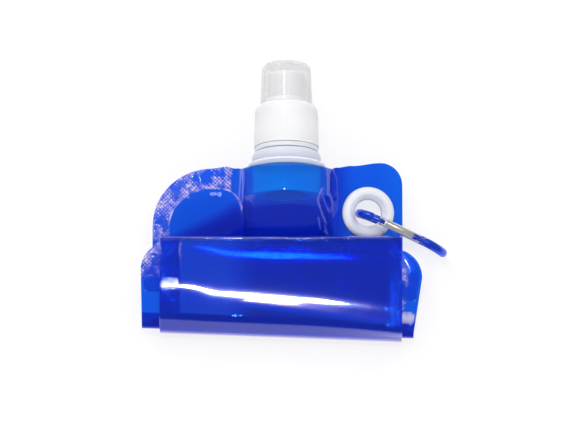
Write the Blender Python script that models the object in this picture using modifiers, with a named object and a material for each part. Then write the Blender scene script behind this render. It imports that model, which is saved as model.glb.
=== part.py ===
# A collapsible water bottle: a film pouch with a welded spout, rolled up on its own front,
# with a screw cap, push-pull nozzle and dust cover, and a small carabiner in its eyelet.
# Metres. +X across the pouch, +Y towards the spout, +Z up from the table.
# The origin is on the flat back panel, under the middle of the roll.

import math

import bmesh
import bpy
from mathutils import Matrix, Vector

NAME = "collapsible_water_bottle"

# Film and fits
FILM = 0.0003
GAP = 0.0003
PIN_PLAY = 0.00006
SEGMENTS = 36

# Spout, measured along its axis from the top edge of the pouch
SPOUT_X = 0.0030
NECK_EDGE_Y = 0.0530
FLANGE_RADIUS = 0.0180
FLANGE_FROM = 0.0004
FLANGE_THICK = 0.0009
WELD_HALF_WIDTH = 0.0193
WELD_HALF_HEIGHT = 0.0108
WELD_LENGTH = 0.0129
BORE_RADIUS = 0.0094
NECK_RADIUS = 0.0118
NECK_LENGTH = 0.0260
BEAD_HEIGHT = 0.0022
BEAD_THICK = 0.0017
THREAD_PITCH = 0.0040
THREAD_TURNS = 1.5
THREAD_DEPTH = 0.0012
THREAD_FROM = 0.0140
BAND_FROM = FLANGE_FROM + FLANGE_THICK + GAP
BAND_HEIGHT = 0.0057
BAND_RADIUS = 0.0160

# Screw cap
CAP_FROM = 0.0098
CAP_TOP = 0.0299
CAP_RADIUS = 0.0151
CAP_DRAFT = 0.0005
CAP_SHOULDER_RADIUS = 0.0124
CAP_SHOULDER_DROP = 0.0034
CAP_WALL = 0.0014
CAP_THREAD_DEPTH = 0.0011
CAP_THREAD_TURNS = 1.25
SEAL_THICK = 0.0011
BOSS_RADIUS = 0.0107
BOSS_HEIGHT = 0.0026
TOWER_RADIUS = 0.0080
TOWER_WALL = 0.0013
TOWER_HEIGHT = 0.0118
PLUG_RADIUS = 0.0025
FLOW_HOLE_RADIUS = 0.0014
FLOW_HOLES = 4

# Nozzle and dust cover
NOZZLE_RADIUS = 0.00925
NOZZLE_TOP = 0.0453
NOZZLE_ROOF = 0.0014
NOZZLE_TRAVEL = 0.0032
COVER_RADIUS = 0.0121
COVER_TAPER = 0.0006
COVER_TOP = 0.0500
COVER_WALL = 0.0010
COVER_ROUND = 0.0030
COVER_LIP = 0.0004
COVER_LIP_HEIGHT = 0.0015

# Pouch seen from above
WAIST_LEFT = -0.0555
WAIST_RIGHT = 0.0562
SHOULDER_LEFT = WAIST_LEFT - 0.0039
SHOULDER_RADIUS = 0.0264
SHOULDER_ARC_Y = 0.0285
TAB_RIGHT = WAIST_RIGHT + 0.0008
TAB_TOP_Y = 0.0572
TAB_CORNER = 0.0102
TUBE_HALF = WELD_HALF_WIDTH + 0.0007
TAPER_POWER = 1.6
EDGE_LIFT_LEFT = 0.0080
EDGE_LIFT_RIGHT = 0.0105
EDGE_LIFT_POWER = 0.8
SHOULDER_FALL = 0.0090

# Roll, as a path of its middle line from the crease at its foot
CREASE_Y = -0.0158
CREASE_TILT = math.radians(2.2)
CREASE_RADIUS = 0.00805
ROLL_TOP_Y = 0.0195
LIE_FLAT_Y = ROLL_TOP_Y - 0.0115
ROLL_TOP_Z = 0.0142
ROLL_TOP_RADIUS = 0.0018
INNER_FOOT_Y = -0.0209
INNER_FOOT_Z = 0.00735
INNER_FOOT_RADIUS = 0.00135
BASE_END_Y = 0.0177
BASE_END_Z = 0.01405
BASE_HALF = (WAIST_RIGHT - WAIST_LEFT) / 2 + 0.0092
BASE_MIDDLE = (WAIST_RIGHT + WAIST_LEFT) / 2
BASE_TAPER = 0.09
BASE_YAW = 0.068
BASE_CORNER = 0.0140
HIP_FROM_Y = -0.0120
GUSSET_FOLD_Y = -0.0060
UNROLL_AXIS_Z = 0.0090

# Eyelet in the right tab
EYELET_X = TAB_RIGHT - 0.0161
EYELET_Y = ROLL_TOP_Y + 0.0145
EYELET_Z = 0.0090
EYELET_SLOPE_X = -0.08
EYELET_SLOPE_Y = 0.15
EYELET_RADIUS = 0.0121
EYELET_HOLE = 0.0063
EYELET_BARREL = 0.0011
EYELET_FRONT = 0.0024
EYELET_BACK = 0.0016
EYELET_MARGIN = 0.0005
EYELET_BLEND_X = 0.0055
EYELET_BLEND_Y = 0.0120

# Carabiner, in its own plane: a along it from the nose bend, h up from the spine
CARABINER_YAW = math.radians(26.0)
CARABINER_LEAN = Vector((-0.096, -0.197, 0.976))
CARABINER_REST = math.radians(184.0)
CARABINER_EASE = 0.0003
CARABINER_LENGTH = 0.0430
CARABINER_BOW = 0.0012
NOSE_BEND = 0.0085
TAIL_BEND = 0.0079
WIRE_FLAT = 0.0021
WIRE_DEEP = 0.0019
TONGUE_FLAT = 0.0010
TONGUE_DEEP = 0.0015
NOSE_PIN_A = 0.0116
HINGE_PIN_A = 0.0300
GATE_TUBE_FROM = 0.0138
GATE_TUBE_TO = 0.0275
GATE_RADIUS = 0.0019
GATE_SLOT = 0.00125
GATE_BORE = 0.00115
GATE_BORE_END = 0.0190
PIN_RADIUS = 0.0005
PLUNGER_RADIUS = 0.00095
PLUNGER_LENGTH = 0.0022
SPRING_RADIUS = 0.00078
SPRING_WIRE = 0.00016
SPRING_TURNS = 7

BLUE_FILM = ((0.010, 0.060, 0.620, 1.0), 0.15, 0.0)
WHITE_PLASTIC = ((0.860, 0.870, 0.890, 1.0), 0.35, 0.0)
CLEAR_PLASTIC = ((0.780, 0.790, 0.780, 1.0), 0.25, 0.0)
WHITE_SEAL = ((0.800, 0.810, 0.820, 1.0), 0.60, 0.0)
BLUE_ALUMINIUM = ((0.010, 0.030, 0.480, 1.0), 0.25, 1.0)
PLATED_STEEL = ((0.620, 0.600, 0.560, 1.0), 0.28, 1.0)

parts = None
cutters = None


# Scene, materials and placing

def clear_scene():
    for item in list(bpy.data.objects):
        bpy.data.objects.remove(item)


def new_collection(name):
    made = bpy.data.collections.new(name)
    bpy.context.scene.collection.children.link(made)
    return made


def paint(item, name, finish):
    colour, roughness, metallic = finish
    material = bpy.data.materials.new(name)
    material.use_nodes = True
    shader = material.node_tree.nodes["Principled BSDF"]
    shader.inputs["Base Color"].default_value = colour
    shader.inputs["Roughness"].default_value = roughness
    shader.inputs["Metallic"].default_value = metallic
    item.data.materials.append(material)


def add_object(name, mesh, finish=None):
    item = bpy.data.objects.new(name, mesh)
    if finish is None:
        cutters.objects.link(item)
        item.hide_render = True
        item.display_type = "WIRE"
    else:
        parts.objects.link(item)
        paint(item, name, finish)
    return item


def smooth(item, angle=40.0):
    item.data.shade_smooth()
    item.data.set_sharp_from_angle(angle=math.radians(angle))


def add_boolean(item, tool, operation="DIFFERENCE"):
    modifier = item.modifiers.new(operation.lower() + "_" + tool.name, "BOOLEAN")
    modifier.operation = operation
    modifier.solver = "EXACT"
    modifier.object = tool


# Shape makers

def loft_mesh(name, rings):
    """A closed body through rings of points, each with as many points as the next."""
    bm = bmesh.new()
    rows = [[bm.verts.new(point) for point in ring] for ring in rings]
    count = len(rings[0])
    for low, high in zip(rows, rows[1:]):
        for i in range(count):
            j = (i + 1) % count
            bm.faces.new((low[i], low[j], high[j], high[i]))
    bm.faces.new(reversed(rows[0]))
    bm.faces.new(rows[-1])
    bmesh.ops.recalc_face_normals(bm, faces=bm.faces)
    mesh = bpy.data.meshes.new(name)
    bm.to_mesh(mesh)
    bm.free()
    return mesh


def prism_mesh(name, outline, low, high):
    return loft_mesh(name, [[(x, y, z) for x, y in outline] for z in (low, high)])


def rod_mesh(name, radius, start, end, sides=16):
    """A round rod from start to end."""
    along = end - start
    turn = along.to_track_quat("Z", "Y").to_matrix()
    circle = [Vector((radius * math.cos(t), radius * math.sin(t), 0.0)) for t in angles(sides)]
    return loft_mesh(name, [[end_point + turn @ p for p in circle] for end_point in (start, end)])


def angles(count):
    return [2.0 * math.pi * i / count for i in range(count)]


def arc(centre_x, centre_y, radius, start, end, steps):
    """Points on an arc, in degrees, ends included."""
    points = []
    for i in range(steps + 1):
        t = math.radians(start + (end - start) * i / steps)
        points.append((centre_x + radius * math.cos(t), centre_y + radius * math.sin(t)))
    return points


def turned(name, profile, finish, segments=SEGMENTS):
    """A closed profile of (radius, height) points, turned about the local Z axis."""
    area = sum(a[0] * b[1] - b[0] * a[1] for a, b in zip(profile, profile[1:] + profile[:1]))
    points = list(profile) if area < 0 else list(reversed(profile))
    mesh = bpy.data.meshes.new(name)
    count = len(points)
    edges = [(i, (i + 1) % count) for i in range(count)]
    mesh.from_pydata([(r, 0.0, h) for r, h in points], edges, [])
    item = add_object(name, mesh, finish)
    screw = item.modifiers.new("turn", "SCREW")
    screw.steps = segments
    screw.render_steps = segments
    screw.use_merge_vertices = True
    screw.merge_threshold = 0.00001
    screw.use_smooth_shade = True
    return item


def on_spout(item):
    """Lays a turned piece along the spout: its local Z is then +Y and its zero the pouch's top edge."""
    item.location = (SPOUT_X, NECK_EDGE_Y, FLANGE_RADIUS)
    item.rotation_euler = (math.radians(-90.0), 0.0, 0.0)


def thread_mesh(name, root, crest, start, turns, phase):
    """A helical ridge about local Z, buried a little in the wall at its root."""
    steps = int(turns * SEGMENTS)
    foot = THREAD_PITCH * 0.20
    tip = THREAD_PITCH * 0.10
    rings = []
    for i in range(steps + 1):
        t = phase + 2.0 * math.pi * turns * i / steps
        z = start + THREAD_PITCH * turns * i / steps
        section = ((root, z - foot), (crest, z - tip), (crest, z + tip), (root, z + foot))
        rings.append([(r * math.cos(t), r * math.sin(t), h) for r, h in section])
    return loft_mesh(name, rings)


# Spout and cap

def weld_ring(height, inset):
    """The boat-shaped outline of the part that is welded between the films."""
    width = WELD_HALF_WIDTH - inset
    half = WELD_HALF_HEIGHT - inset
    return [
        (width * math.cos(t), half * math.sin(t) * abs(math.sin(t)), height) for t in angles(SEGMENTS)
    ]


def make_spout():
    flange_to = FLANGE_FROM + FLANGE_THICK
    bead_from = BAND_FROM + BAND_HEIGHT + GAP
    edge = 0.0004
    rim = FLANGE_THICK * 0.3
    root = WELD_HALF_HEIGHT - 0.0008
    profile = [
        (0.0, NECK_LENGTH), (0.0, -root / 5), (root, -root / 5), (root, FLANGE_FROM),
        (FLANGE_RADIUS - rim, FLANGE_FROM), (FLANGE_RADIUS, FLANGE_FROM + rim),
        (FLANGE_RADIUS, flange_to - rim), (FLANGE_RADIUS - rim, flange_to),
        (NECK_RADIUS, flange_to), (NECK_RADIUS, bead_from),
        (NECK_RADIUS + BEAD_HEIGHT, bead_from + BEAD_THICK * 0.2),
        (NECK_RADIUS + BEAD_HEIGHT, bead_from + BEAD_THICK * 0.8),
        (NECK_RADIUS, bead_from + BEAD_THICK),
        (NECK_RADIUS, NECK_LENGTH - edge), (NECK_RADIUS - edge, NECK_LENGTH),
    ]
    spout = turned("spout_fitment", profile, WHITE_PLASTIC)
    on_spout(spout)
    weld_rings = [
        weld_ring(-WELD_LENGTH, edge), weld_ring(edge - WELD_LENGTH, 0.0),
        weld_ring(FLANGE_FROM + FLANGE_THICK / 3, 0.0),
    ]
    weld_base = add_object("weld_base", loft_mesh("weld_base", weld_rings))
    on_spout(weld_base)
    add_boolean(spout, weld_base, "UNION")
    ridge_mesh = thread_mesh(
        "neck_thread", NECK_RADIUS - 0.0003, NECK_RADIUS + THREAD_DEPTH, THREAD_FROM, THREAD_TURNS, 0.0
    )
    ridge = add_object("neck_thread_tool", ridge_mesh)
    on_spout(ridge)
    add_boolean(spout, ridge, "UNION")
    bottom = Vector((0.0, 0.0, -WELD_LENGTH - 0.001))
    top = Vector((0.0, 0.0, NECK_LENGTH + 0.001))
    bore = add_object("neck_bore", rod_mesh("neck_bore", BORE_RADIUS, bottom, top, SEGMENTS))
    on_spout(bore)
    add_boolean(spout, bore)
    return spout


def make_band():
    inner = NECK_RADIUS + GAP
    bulge = 0.0013
    side = BAND_RADIUS - bulge
    middle = BAND_FROM + BAND_HEIGHT / 2
    half = BAND_HEIGHT / 2
    round_side = [
        (side + bulge * math.cos(t), middle + half * math.sin(t))
        for t in [math.radians(-90.0 + 30.0 * i) for i in range(7)]
    ]
    profile = [(inner, BAND_FROM + BAND_HEIGHT), (inner, BAND_FROM)] + round_side
    on_spout(turned("tamper_band", profile, WHITE_PLASTIC))


def cap_inner_radius():
    return CAP_RADIUS - CAP_WALL


def plate_underside():
    return NECK_LENGTH + SEAL_THICK + 2 * GAP


def make_seal():
    low = NECK_LENGTH + GAP
    inner = BORE_RADIUS
    outer = cap_inner_radius() - CAP_DRAFT - GAP
    profile = [(inner, low), (outer, low), (outer, low + SEAL_THICK), (inner, low + SEAL_THICK)]
    seal = turned("cap_seal", profile, WHITE_SEAL)
    on_spout(seal)


def make_cap():
    inner = cap_inner_radius()
    under = plate_underside()
    shoulder_from = CAP_TOP - CAP_SHOULDER_DROP
    top_radius = CAP_RADIUS - CAP_DRAFT
    shoulder = []
    for i in range(5):
        t = math.radians(90.0 * i / 4)
        radius = CAP_SHOULDER_RADIUS + (top_radius - CAP_SHOULDER_RADIUS) * math.cos(t)
        shoulder.append((radius, shoulder_from + CAP_SHOULDER_DROP * math.sin(t) * 0.92))
    boss_top = CAP_TOP + BOSS_HEIGHT
    tower_top = CAP_TOP + TOWER_HEIGHT
    tower_inner = TOWER_RADIUS - TOWER_WALL
    plug_top = NOZZLE_TOP - GAP
    edge = 0.0005
    profile = [(inner, CAP_FROM), (CAP_RADIUS, CAP_FROM)] + shoulder + [
        (CAP_SHOULDER_RADIUS - GAP, CAP_TOP),
        (BOSS_RADIUS, CAP_TOP), (BOSS_RADIUS, boss_top - edge), (BOSS_RADIUS - edge, boss_top),
        (TOWER_RADIUS, boss_top), (TOWER_RADIUS, tower_top - edge),
        (TOWER_RADIUS - edge, tower_top), (tower_inner, tower_top),
        (tower_inner, CAP_TOP), (PLUG_RADIUS, CAP_TOP),
        (PLUG_RADIUS, plug_top - edge), (PLUG_RADIUS - edge, plug_top), (0.0, plug_top),
        (0.0, under), (inner - CAP_DRAFT, under),
    ]
    cap = turned("screw_cap", profile, WHITE_PLASTIC)
    on_spout(cap)
    ridge_mesh = thread_mesh(
        "cap_thread", inner + 0.0003, inner - CAP_THREAD_DEPTH,
        THREAD_FROM + THREAD_PITCH / 2, CAP_THREAD_TURNS, 0.0
    )
    ridge = add_object("cap_thread_tool", ridge_mesh)
    on_spout(ridge)
    add_boolean(cap, ridge, "UNION")
    reach = (tower_inner + PLUG_RADIUS) / 2
    for i, t in enumerate(angles(FLOW_HOLES)):
        start = Vector((reach * math.cos(t), reach * math.sin(t), under - 0.001))
        end = start + Vector((0.0, 0.0, CAP_TOP - under + 0.002))
        tool = add_object("flow_hole_%d" % i, rod_mesh("flow_hole", FLOW_HOLE_RADIUS, start, end, 10))
        on_spout(tool)
        add_boolean(cap, tool)


def make_nozzle():
    low = CAP_TOP + BOSS_HEIGHT + GAP
    inner = TOWER_RADIUS + GAP
    hole = PLUG_RADIUS + GAP
    edge = 0.0012
    profile = [
        (inner, low), (NOZZLE_RADIUS, low),
        (NOZZLE_RADIUS, NOZZLE_TOP - edge), (NOZZLE_RADIUS - edge * 0.3, NOZZLE_TOP - edge * 0.3),
        (NOZZLE_RADIUS - edge, NOZZLE_TOP), (hole, NOZZLE_TOP),
        (hole, NOZZLE_TOP - NOZZLE_ROOF), (inner, NOZZLE_TOP - NOZZLE_ROOF),
    ]
    on_spout(turned("nozzle", profile, WHITE_PLASTIC))


def make_cover():
    low = CAP_TOP + GAP
    lip_to = low + COVER_LIP_HEIGHT
    top_radius = COVER_RADIUS - COVER_TAPER
    outer = [
        (COVER_RADIUS + COVER_LIP - GAP, low), (COVER_RADIUS + COVER_LIP, lip_to - 0.0005),
        (COVER_RADIUS, lip_to),
    ]
    outer += arc(top_radius - COVER_ROUND, COVER_TOP - COVER_ROUND, COVER_ROUND, 0.0, 90.0, 4)
    outer.append((0.0, COVER_TOP))
    inner_round = COVER_ROUND - COVER_WALL
    inner = [(0.0, COVER_TOP - COVER_WALL)]
    inner += arc(top_radius - COVER_ROUND, COVER_TOP - COVER_ROUND, inner_round, 90.0, 0.0, 3)
    inner.append((COVER_RADIUS - COVER_WALL, low))
    on_spout(turned("dust_cover", outer + inner, CLEAR_PLASTIC))


# Pouch, from its weld outlines and heights

def ease(value):
    t = min(max(value, 0.0), 1.0)
    return t * t * (3.0 - 2.0 * t)


def skew(x, weight=1.0):
    """How far a line square to the pouch moves in Y, because the foot crease isn't square."""
    return -math.tan(CREASE_TILT) * x * weight


def flat_height():
    return FILM + GAP / 2


def rise(y):
    """0 where the pouch lies flat, 1 along the spout's weld."""
    run = NECK_EDGE_Y - WELD_LENGTH - LIE_FLAT_Y
    return min(max((y - LIE_FLAT_Y) / run, 0.0), 1.0) ** TAPER_POWER


def edge_height(x, y):
    lift = EDGE_LIFT_RIGHT if x > SPOUT_X else EDGE_LIFT_LEFT
    run = NECK_EDGE_Y - LIE_FLAT_Y
    share = min(max((y - LIE_FLAT_Y) / run, 0.0), 1.2) ** EDGE_LIFT_POWER
    return flat_height() + lift * share


def tube_half_height(x, y):
    """Half the height of the film tube round the boat-shaped weld base."""
    share = min(abs(x - SPOUT_X) / TUBE_HALF, 1.0)
    return (WELD_HALF_HEIGHT + GAP / 2) * (1.0 - share * share) * rise(y)


def middle_height(x, y):
    """Height of the middle plane between the two films."""
    d = abs(x - SPOUT_X)
    at_tube = flat_height() + (FLANGE_RADIUS - flat_height()) * rise(y)
    if d <= TUBE_HALF:
        return at_tube
    edge = edge_height(x, y)
    height = edge + (at_tube - edge) * math.exp(-(d - TUBE_HALF) / SHOULDER_FALL)
    away_x = (abs(x - EYELET_X) - eyelet_flat()) / EYELET_BLEND_X
    away_y = (abs(y - EYELET_Y) - eyelet_flat()) / EYELET_BLEND_Y
    weight = 1.0 - ease(max(away_x, away_y))
    plane = EYELET_Z + EYELET_SLOPE_X * (x - EYELET_X) + EYELET_SLOPE_Y * (y - EYELET_Y)
    return height + (plane - height) * weight


def eyelet_flat():
    """Half the side of the flat square the eyelet is set in."""
    return EYELET_RADIUS + EYELET_MARGIN


def film_point(x, y, side):
    """A point on a film's middle, a film's width and a gap from the other film, square to its slope."""
    def height(u, v):
        return middle_height(u, v) + side * tube_half_height(u, v)

    step = 0.0018
    reach = x - SPOUT_X
    low = x if reach > TUBE_HALF - step else x - step
    high = x if reach < step - TUBE_HALF else x + step
    dx = (height(high, y) - height(low, y)) / (high - low)
    dy = (height(x, y + step) - height(x, y - step)) / (2 * step)
    normal = Vector((-dx, -dy, 1.0)).normalized()
    off = (FILM + GAP) / 2
    return Vector((x, y, height(x, y))) + normal * off * side


def sheet(name, rows, finish, offset=0.0):
    """A sheet of film through rows of points, given its thickness."""
    count = len(rows[0])
    faces = []
    for j in range(len(rows) - 1):
        for i in range(count - 1):
            k = j * count + i
            faces.append((k, k + 1, k + count + 1, k + count))
    mesh = bpy.data.meshes.new(name)
    mesh.from_pydata([tuple(p) for row in rows for p in row], [], faces)
    item = add_object(name, mesh, finish)
    thick = item.modifiers.new("thickness", "SOLIDIFY")
    thick.thickness = FILM
    thick.offset = offset
    return item


def upper_outline():
    """The welded outline of the upper pouch, from the foot crease round both shoulders."""
    foot = CREASE_Y
    points = [(WAIST_LEFT, foot + skew(WAIST_LEFT)), (WAIST_LEFT, -0.002), (SHOULDER_LEFT, 0.018)]
    arc_x = SHOULDER_LEFT + SHOULDER_RADIUS
    points += arc(arc_x, SHOULDER_ARC_Y, SHOULDER_RADIUS, 180.0, 90.0, 10)
    left_root = SPOUT_X - TUBE_HALF
    right_root = SPOUT_X + TUBE_HALF
    points += [
        (left_root - 0.0085, NECK_EDGE_Y + 0.0024),
        (left_root - 0.0030, NECK_EDGE_Y + 0.0008),
        (left_root, NECK_EDGE_Y), (right_root, NECK_EDGE_Y),
        (right_root + 0.0035, NECK_EDGE_Y + 0.0013),
        (right_root + 0.0100, NECK_EDGE_Y + 0.0025),
    ]
    points += arc(TAB_RIGHT - TAB_CORNER, TAB_TOP_Y - TAB_CORNER, TAB_CORNER, 105.0, 0.0, 8)
    points += [(TAB_RIGHT, 0.018), (WAIST_RIGHT, -0.002), (WAIST_RIGHT, foot + skew(WAIST_RIGHT))]
    return points


def spaced(start, end, count):
    return [start + (end - start) * i / (count - 1) for i in range(count)]


def make_upper_films():
    beyond = 0.004
    columns = spaced(SHOULDER_LEFT - beyond, SPOUT_X - TUBE_HALF, 8)
    columns += spaced(SPOUT_X - TUBE_HALF, SPOUT_X + TUBE_HALF, 13)[1:]
    columns += spaced(EYELET_X - eyelet_flat(), EYELET_X + eyelet_flat(), 5)
    columns.append(TAB_RIGHT + beyond)
    weld_from = NECK_EDGE_Y - WELD_LENGTH
    flat_from = EYELET_Y - eyelet_flat()
    flat_to = EYELET_Y + eyelet_flat()
    lines = spaced(CREASE_Y, LIE_FLAT_Y, 3) + spaced(LIE_FLAT_Y, flat_from, 5)[1:]
    lines += spaced(flat_from, weld_from, 5)[1:] + [(weld_from + flat_to) / 2, flat_to]
    lines += [NECK_EDGE_Y, TAB_TOP_Y + beyond]
    outline = prism_mesh("outline", upper_outline(), -0.01, 0.06)
    for name, side in (("back_film_upper", -1), ("front_film_upper", 1)):
        rows = []
        for i, y in enumerate(lines):
            weight = 1.0 - ease((y - CREASE_Y) / (LIE_FLAT_Y - CREASE_Y))
            overrun = -0.002 if i == 0 else 0.0
            rows.append([shifted(film_point(x, y, side), skew(x, weight) + overrun) for x in columns])
        film = sheet(name, rows, BLUE_FILM)
        add_boolean(film, add_object("outline_" + name, outline.copy()), "INTERSECT")
        tool_mesh = rod_mesh("eyelet_hole", EYELET_HOLE + EYELET_BARREL + GAP, *eyelet_line(0.02), 24)
        add_boolean(film, add_object("eyelet_hole_" + name, tool_mesh))
        smooth(film)


def shifted(point, dy):
    return Vector((point.x, point.y + dy, point.z))


def make_crease_films():
    """The loose bend at the roll's foot, between the upper pouch and the roll."""
    steps = 10
    centre_z = flat_height() + CREASE_RADIUS
    for name, side in (("front_film_crease", -1), ("back_film_crease", 1)):
        radius = CREASE_RADIUS + side * (FILM + GAP) / 2
        inset = GAP / radius
        rows = []
        for i in range(steps + 1):
            t = -math.pi / 2 - inset - (math.pi - 2 * inset) * i / steps
            y = CREASE_Y + radius * math.cos(t)
            z = centre_z + radius * math.sin(t)
            rows.append([(x, y + skew(x), z) for x in spaced(WAIST_LEFT, WAIST_RIGHT, 4)])
        smooth(sheet(name, rows, BLUE_FILM))


def path_line(start, end, steps):
    along = (Vector(end) - Vector(start)).normalized()
    left = Vector((-along.y, along.x))
    return [(Vector(start).lerp(Vector(end), i / steps), left) for i in range(steps + 1)]


def path_bend(centre, radius, start, end, steps):
    """A clockwise bend. The outer side is away from its centre."""
    stations = []
    for i in range(steps + 1):
        t = math.radians(start + (end - start) * i / steps)
        out = Vector((math.cos(t), math.sin(t)))
        stations.append((Vector(centre) + out * radius, out))
    return stations


def base_width(y):
    """Left and right edges of the pouch's wide base end, which narrows away from its rounded corners."""
    half = BASE_HALF - BASE_TAPER * max(0.005 - y, 0.0)
    centre = BASE_MIDDLE + BASE_YAW * y
    from_end = y - (BASE_END_Y - BASE_CORNER)
    if from_end > 0.0:
        half -= BASE_CORNER - math.sqrt(max(BASE_CORNER ** 2 - from_end ** 2, 0.0))
    return centre - half, centre + half


def roll_width(y):
    """Edges of the panel under the base end: the waist, flaring to the hips at the inner foot crease."""
    left, right = base_width(y)
    share = ease((HIP_FROM_Y - y) / (HIP_FROM_Y - INNER_FOOT_Y))
    return WAIST_LEFT + (left - WAIST_LEFT) * share, WAIST_RIGHT + (right - WAIST_RIGHT) * share


def base_line():
    """Stations of the base end from the inner foot crease to its free edge, closer at its corners."""
    start = Vector((INNER_FOOT_Y, INNER_FOOT_Z + INNER_FOOT_RADIUS))
    end = Vector((BASE_END_Y, BASE_END_Z))
    straight = (BASE_END_Y - BASE_CORNER - INNER_FOOT_Y) / (BASE_END_Y - INNER_FOOT_Y)
    shares = spaced(0.0, straight, 4)
    shares += [straight + (1.0 - straight) * math.sin(math.radians(90.0 * i / 6)) for i in range(1, 7)]
    along = (end - start).normalized()
    left = Vector((-along.y, along.x))
    return [(start.lerp(end, share), left) for share in shares]


def roll_stations():
    """The roll's middle line as (point, outward side, half gap, left, right, skew share)."""
    crease_top = flat_height() + 2 * CREASE_RADIUS
    close = (FILM + GAP) / 2
    wide = close * 3
    stations = []
    front = path_line((CREASE_Y, crease_top), (ROLL_TOP_Y, ROLL_TOP_Z + ROLL_TOP_RADIUS), 3)
    for point, out in front[:-1]:
        stations.append((point, out, close, WAIST_LEFT, WAIST_RIGHT, top_fade(point.x)))
    for point, out in path_bend((ROLL_TOP_Y, ROLL_TOP_Z), ROLL_TOP_RADIUS, 90.0, -90.0, 6):
        stations.append((point, out, close, WAIST_LEFT, WAIST_RIGHT, 0.0))
    low = (INNER_FOOT_Y, INNER_FOOT_Z - INNER_FOOT_RADIUS)
    under = path_line((ROLL_TOP_Y, ROLL_TOP_Z - ROLL_TOP_RADIUS), low, 12)
    for point, out in under[3:-1:3] + under[-3:-1]:
        stations.append((point, out, close, *roll_width(point.x), top_fade(point.x)))
    bend = path_bend((INNER_FOOT_Y, INNER_FOOT_Z), INNER_FOOT_RADIUS, -90.0, -270.0, 6)
    for i, (point, out) in enumerate(bend):
        half_gap = close + (wide - close) * i / 6
        stations.append((point, out, half_gap, *base_width(INNER_FOOT_Y), 1.0))
    for point, out in base_line()[1:]:
        stations.append((point, out, wide, *base_width(point.x), 1.0))
    return stations


def top_fade(y):
    """How much of the foot crease's skew a line keeps, none at the roll's top crease."""
    return ease((ROLL_TOP_Y - y) / (ROLL_TOP_Y - CREASE_Y))


def station_row(station, offset, count):
    point, out, _, left, right, share = station
    at = point + out * offset
    return [(x, at.x + skew(x, share), at.y) for x in spaced(left, right, count)]


def make_roll_films():
    for name, side in (("front_film_roll", -1), ("back_film_roll", 1)):
        rows = [station_row(s, side * s[2], 7) for s in roll_stations()]
        rows[0] = [(x, y + GAP, z) for x, y, z in rows[0]]
        smooth(sheet(name, rows, BLUE_FILM))


def make_gusset():
    """The base gusset: one film folded in between the two films of the base end."""
    line = [s for s in base_line() if s[0].x > GUSSET_FOLD_Y]
    first, left = base_line()[0]
    last = base_line()[-1][0]
    start = first.lerp(last, (GUSSET_FOLD_Y - first.x) / (last.x - first.x))
    line.insert(0, (start, left))
    close = (FILM + GAP) / 2
    inset = 0.0015
    rows = []
    for point, out in reversed(line):
        rows.append(gusset_row(point - out * close, point.x, inset))
    rows.append(gusset_row(start - Vector((-left.y, left.x)) * -close, start.x, inset))
    for point, out in line:
        rows.append(gusset_row(point + out * close, point.x, inset))
    smooth(sheet("base_gusset", rows, BLUE_FILM))


def gusset_row(at, y, inset):
    left, right = base_width(y)
    return [(x, at.x + skew(x), at.y) for x in spaced(left + inset, right - inset, 7)]


# Eyelet

def eyelet_normal():
    return Vector((-EYELET_SLOPE_X, -EYELET_SLOPE_Y, 1.0)).normalized()


def eyelet_line(reach):
    centre = Vector((EYELET_X, EYELET_Y, EYELET_Z))
    return centre - eyelet_normal() * reach, centre + eyelet_normal() * reach


def on_eyelet(item):
    item.location = (EYELET_X, EYELET_Y, EYELET_Z)
    item.rotation_mode = "QUATERNION"
    item.rotation_quaternion = eyelet_normal().to_track_quat("Z", "Y")


def make_eyelet():
    seat = FILM + GAP / 2 + GAP
    barrel = EYELET_HOLE + EYELET_BARREL
    half = (EYELET_RADIUS - EYELET_HOLE) / 2
    middle = EYELET_HOLE + half
    crown = [
        (middle + half * math.cos(t), seat + EYELET_FRONT * (0.25 + 0.75 * math.sin(t)))
        for t in [math.radians(22.5 * i) for i in range(9)]
    ]
    profile = [(EYELET_RADIUS, seat)] + crown + [
        (EYELET_HOLE, -seat - EYELET_BACK), (barrel, -seat - EYELET_BACK), (barrel, seat)
    ]
    on_eyelet(turned("grommet_front", profile, WHITE_PLASTIC))
    inner = barrel + GAP
    half = (EYELET_RADIUS - inner) / 2
    middle = inner + half
    crown = [
        (middle + half * math.cos(t), -seat - EYELET_BACK * (0.35 + 0.65 * math.sin(t)))
        for t in [math.radians(30.0 * i) for i in range(7)]
    ]
    profile = [(EYELET_RADIUS, -seat)] + crown + [(inner, -seat)]
    on_eyelet(turned("grommet_back", profile, WHITE_PLASTIC))


# Carabiner

def carabiner_frame():
    """Directions along, up and across the carabiner's plane."""
    up = CARABINER_LEAN.normalized()
    along = Vector((math.cos(CARABINER_YAW), -math.sin(CARABINER_YAW), 0.0))
    along = (along - up * along.dot(up)).normalized()
    return along, up, along.cross(up)


def carabiner_pivot():
    """Where the nose bend's wire lies against the side of the eyelet's hole."""
    reach = EYELET_HOLE - WIRE_FLAT - CARABINER_EASE
    side = Vector((math.cos(CARABINER_REST), math.sin(CARABINER_REST), 0.0))
    return Vector((EYELET_X, EYELET_Y, EYELET_Z)) + side * reach


def in_carabiner(a, h, n=0.0):
    """A point in the carabiner's own directions. Its spine lies just above the table."""
    along, up, across = carabiner_frame()
    pivot = carabiner_pivot()
    start = pivot - up * ((pivot.z - WIRE_DEEP - GAP) / up.z) - across * CARABINER_BOW
    return start + along * a + up * h + across * n


def bow(a):
    """How far the wire's two ends bow out of the plane that its middle lies in."""
    middle = CARABINER_LENGTH / 2
    return CARABINER_BOW * ((a - middle) / middle) ** 4


def gate_height(a):
    """The gate's line, from the nose bend's side of the loop to the tail bend's."""
    share = (a - NOSE_PIN_A) / (HINGE_PIN_A - NOSE_PIN_A)
    return 2 * NOSE_BEND + (2 * TAIL_BEND - 2 * NOSE_BEND) * share


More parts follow.
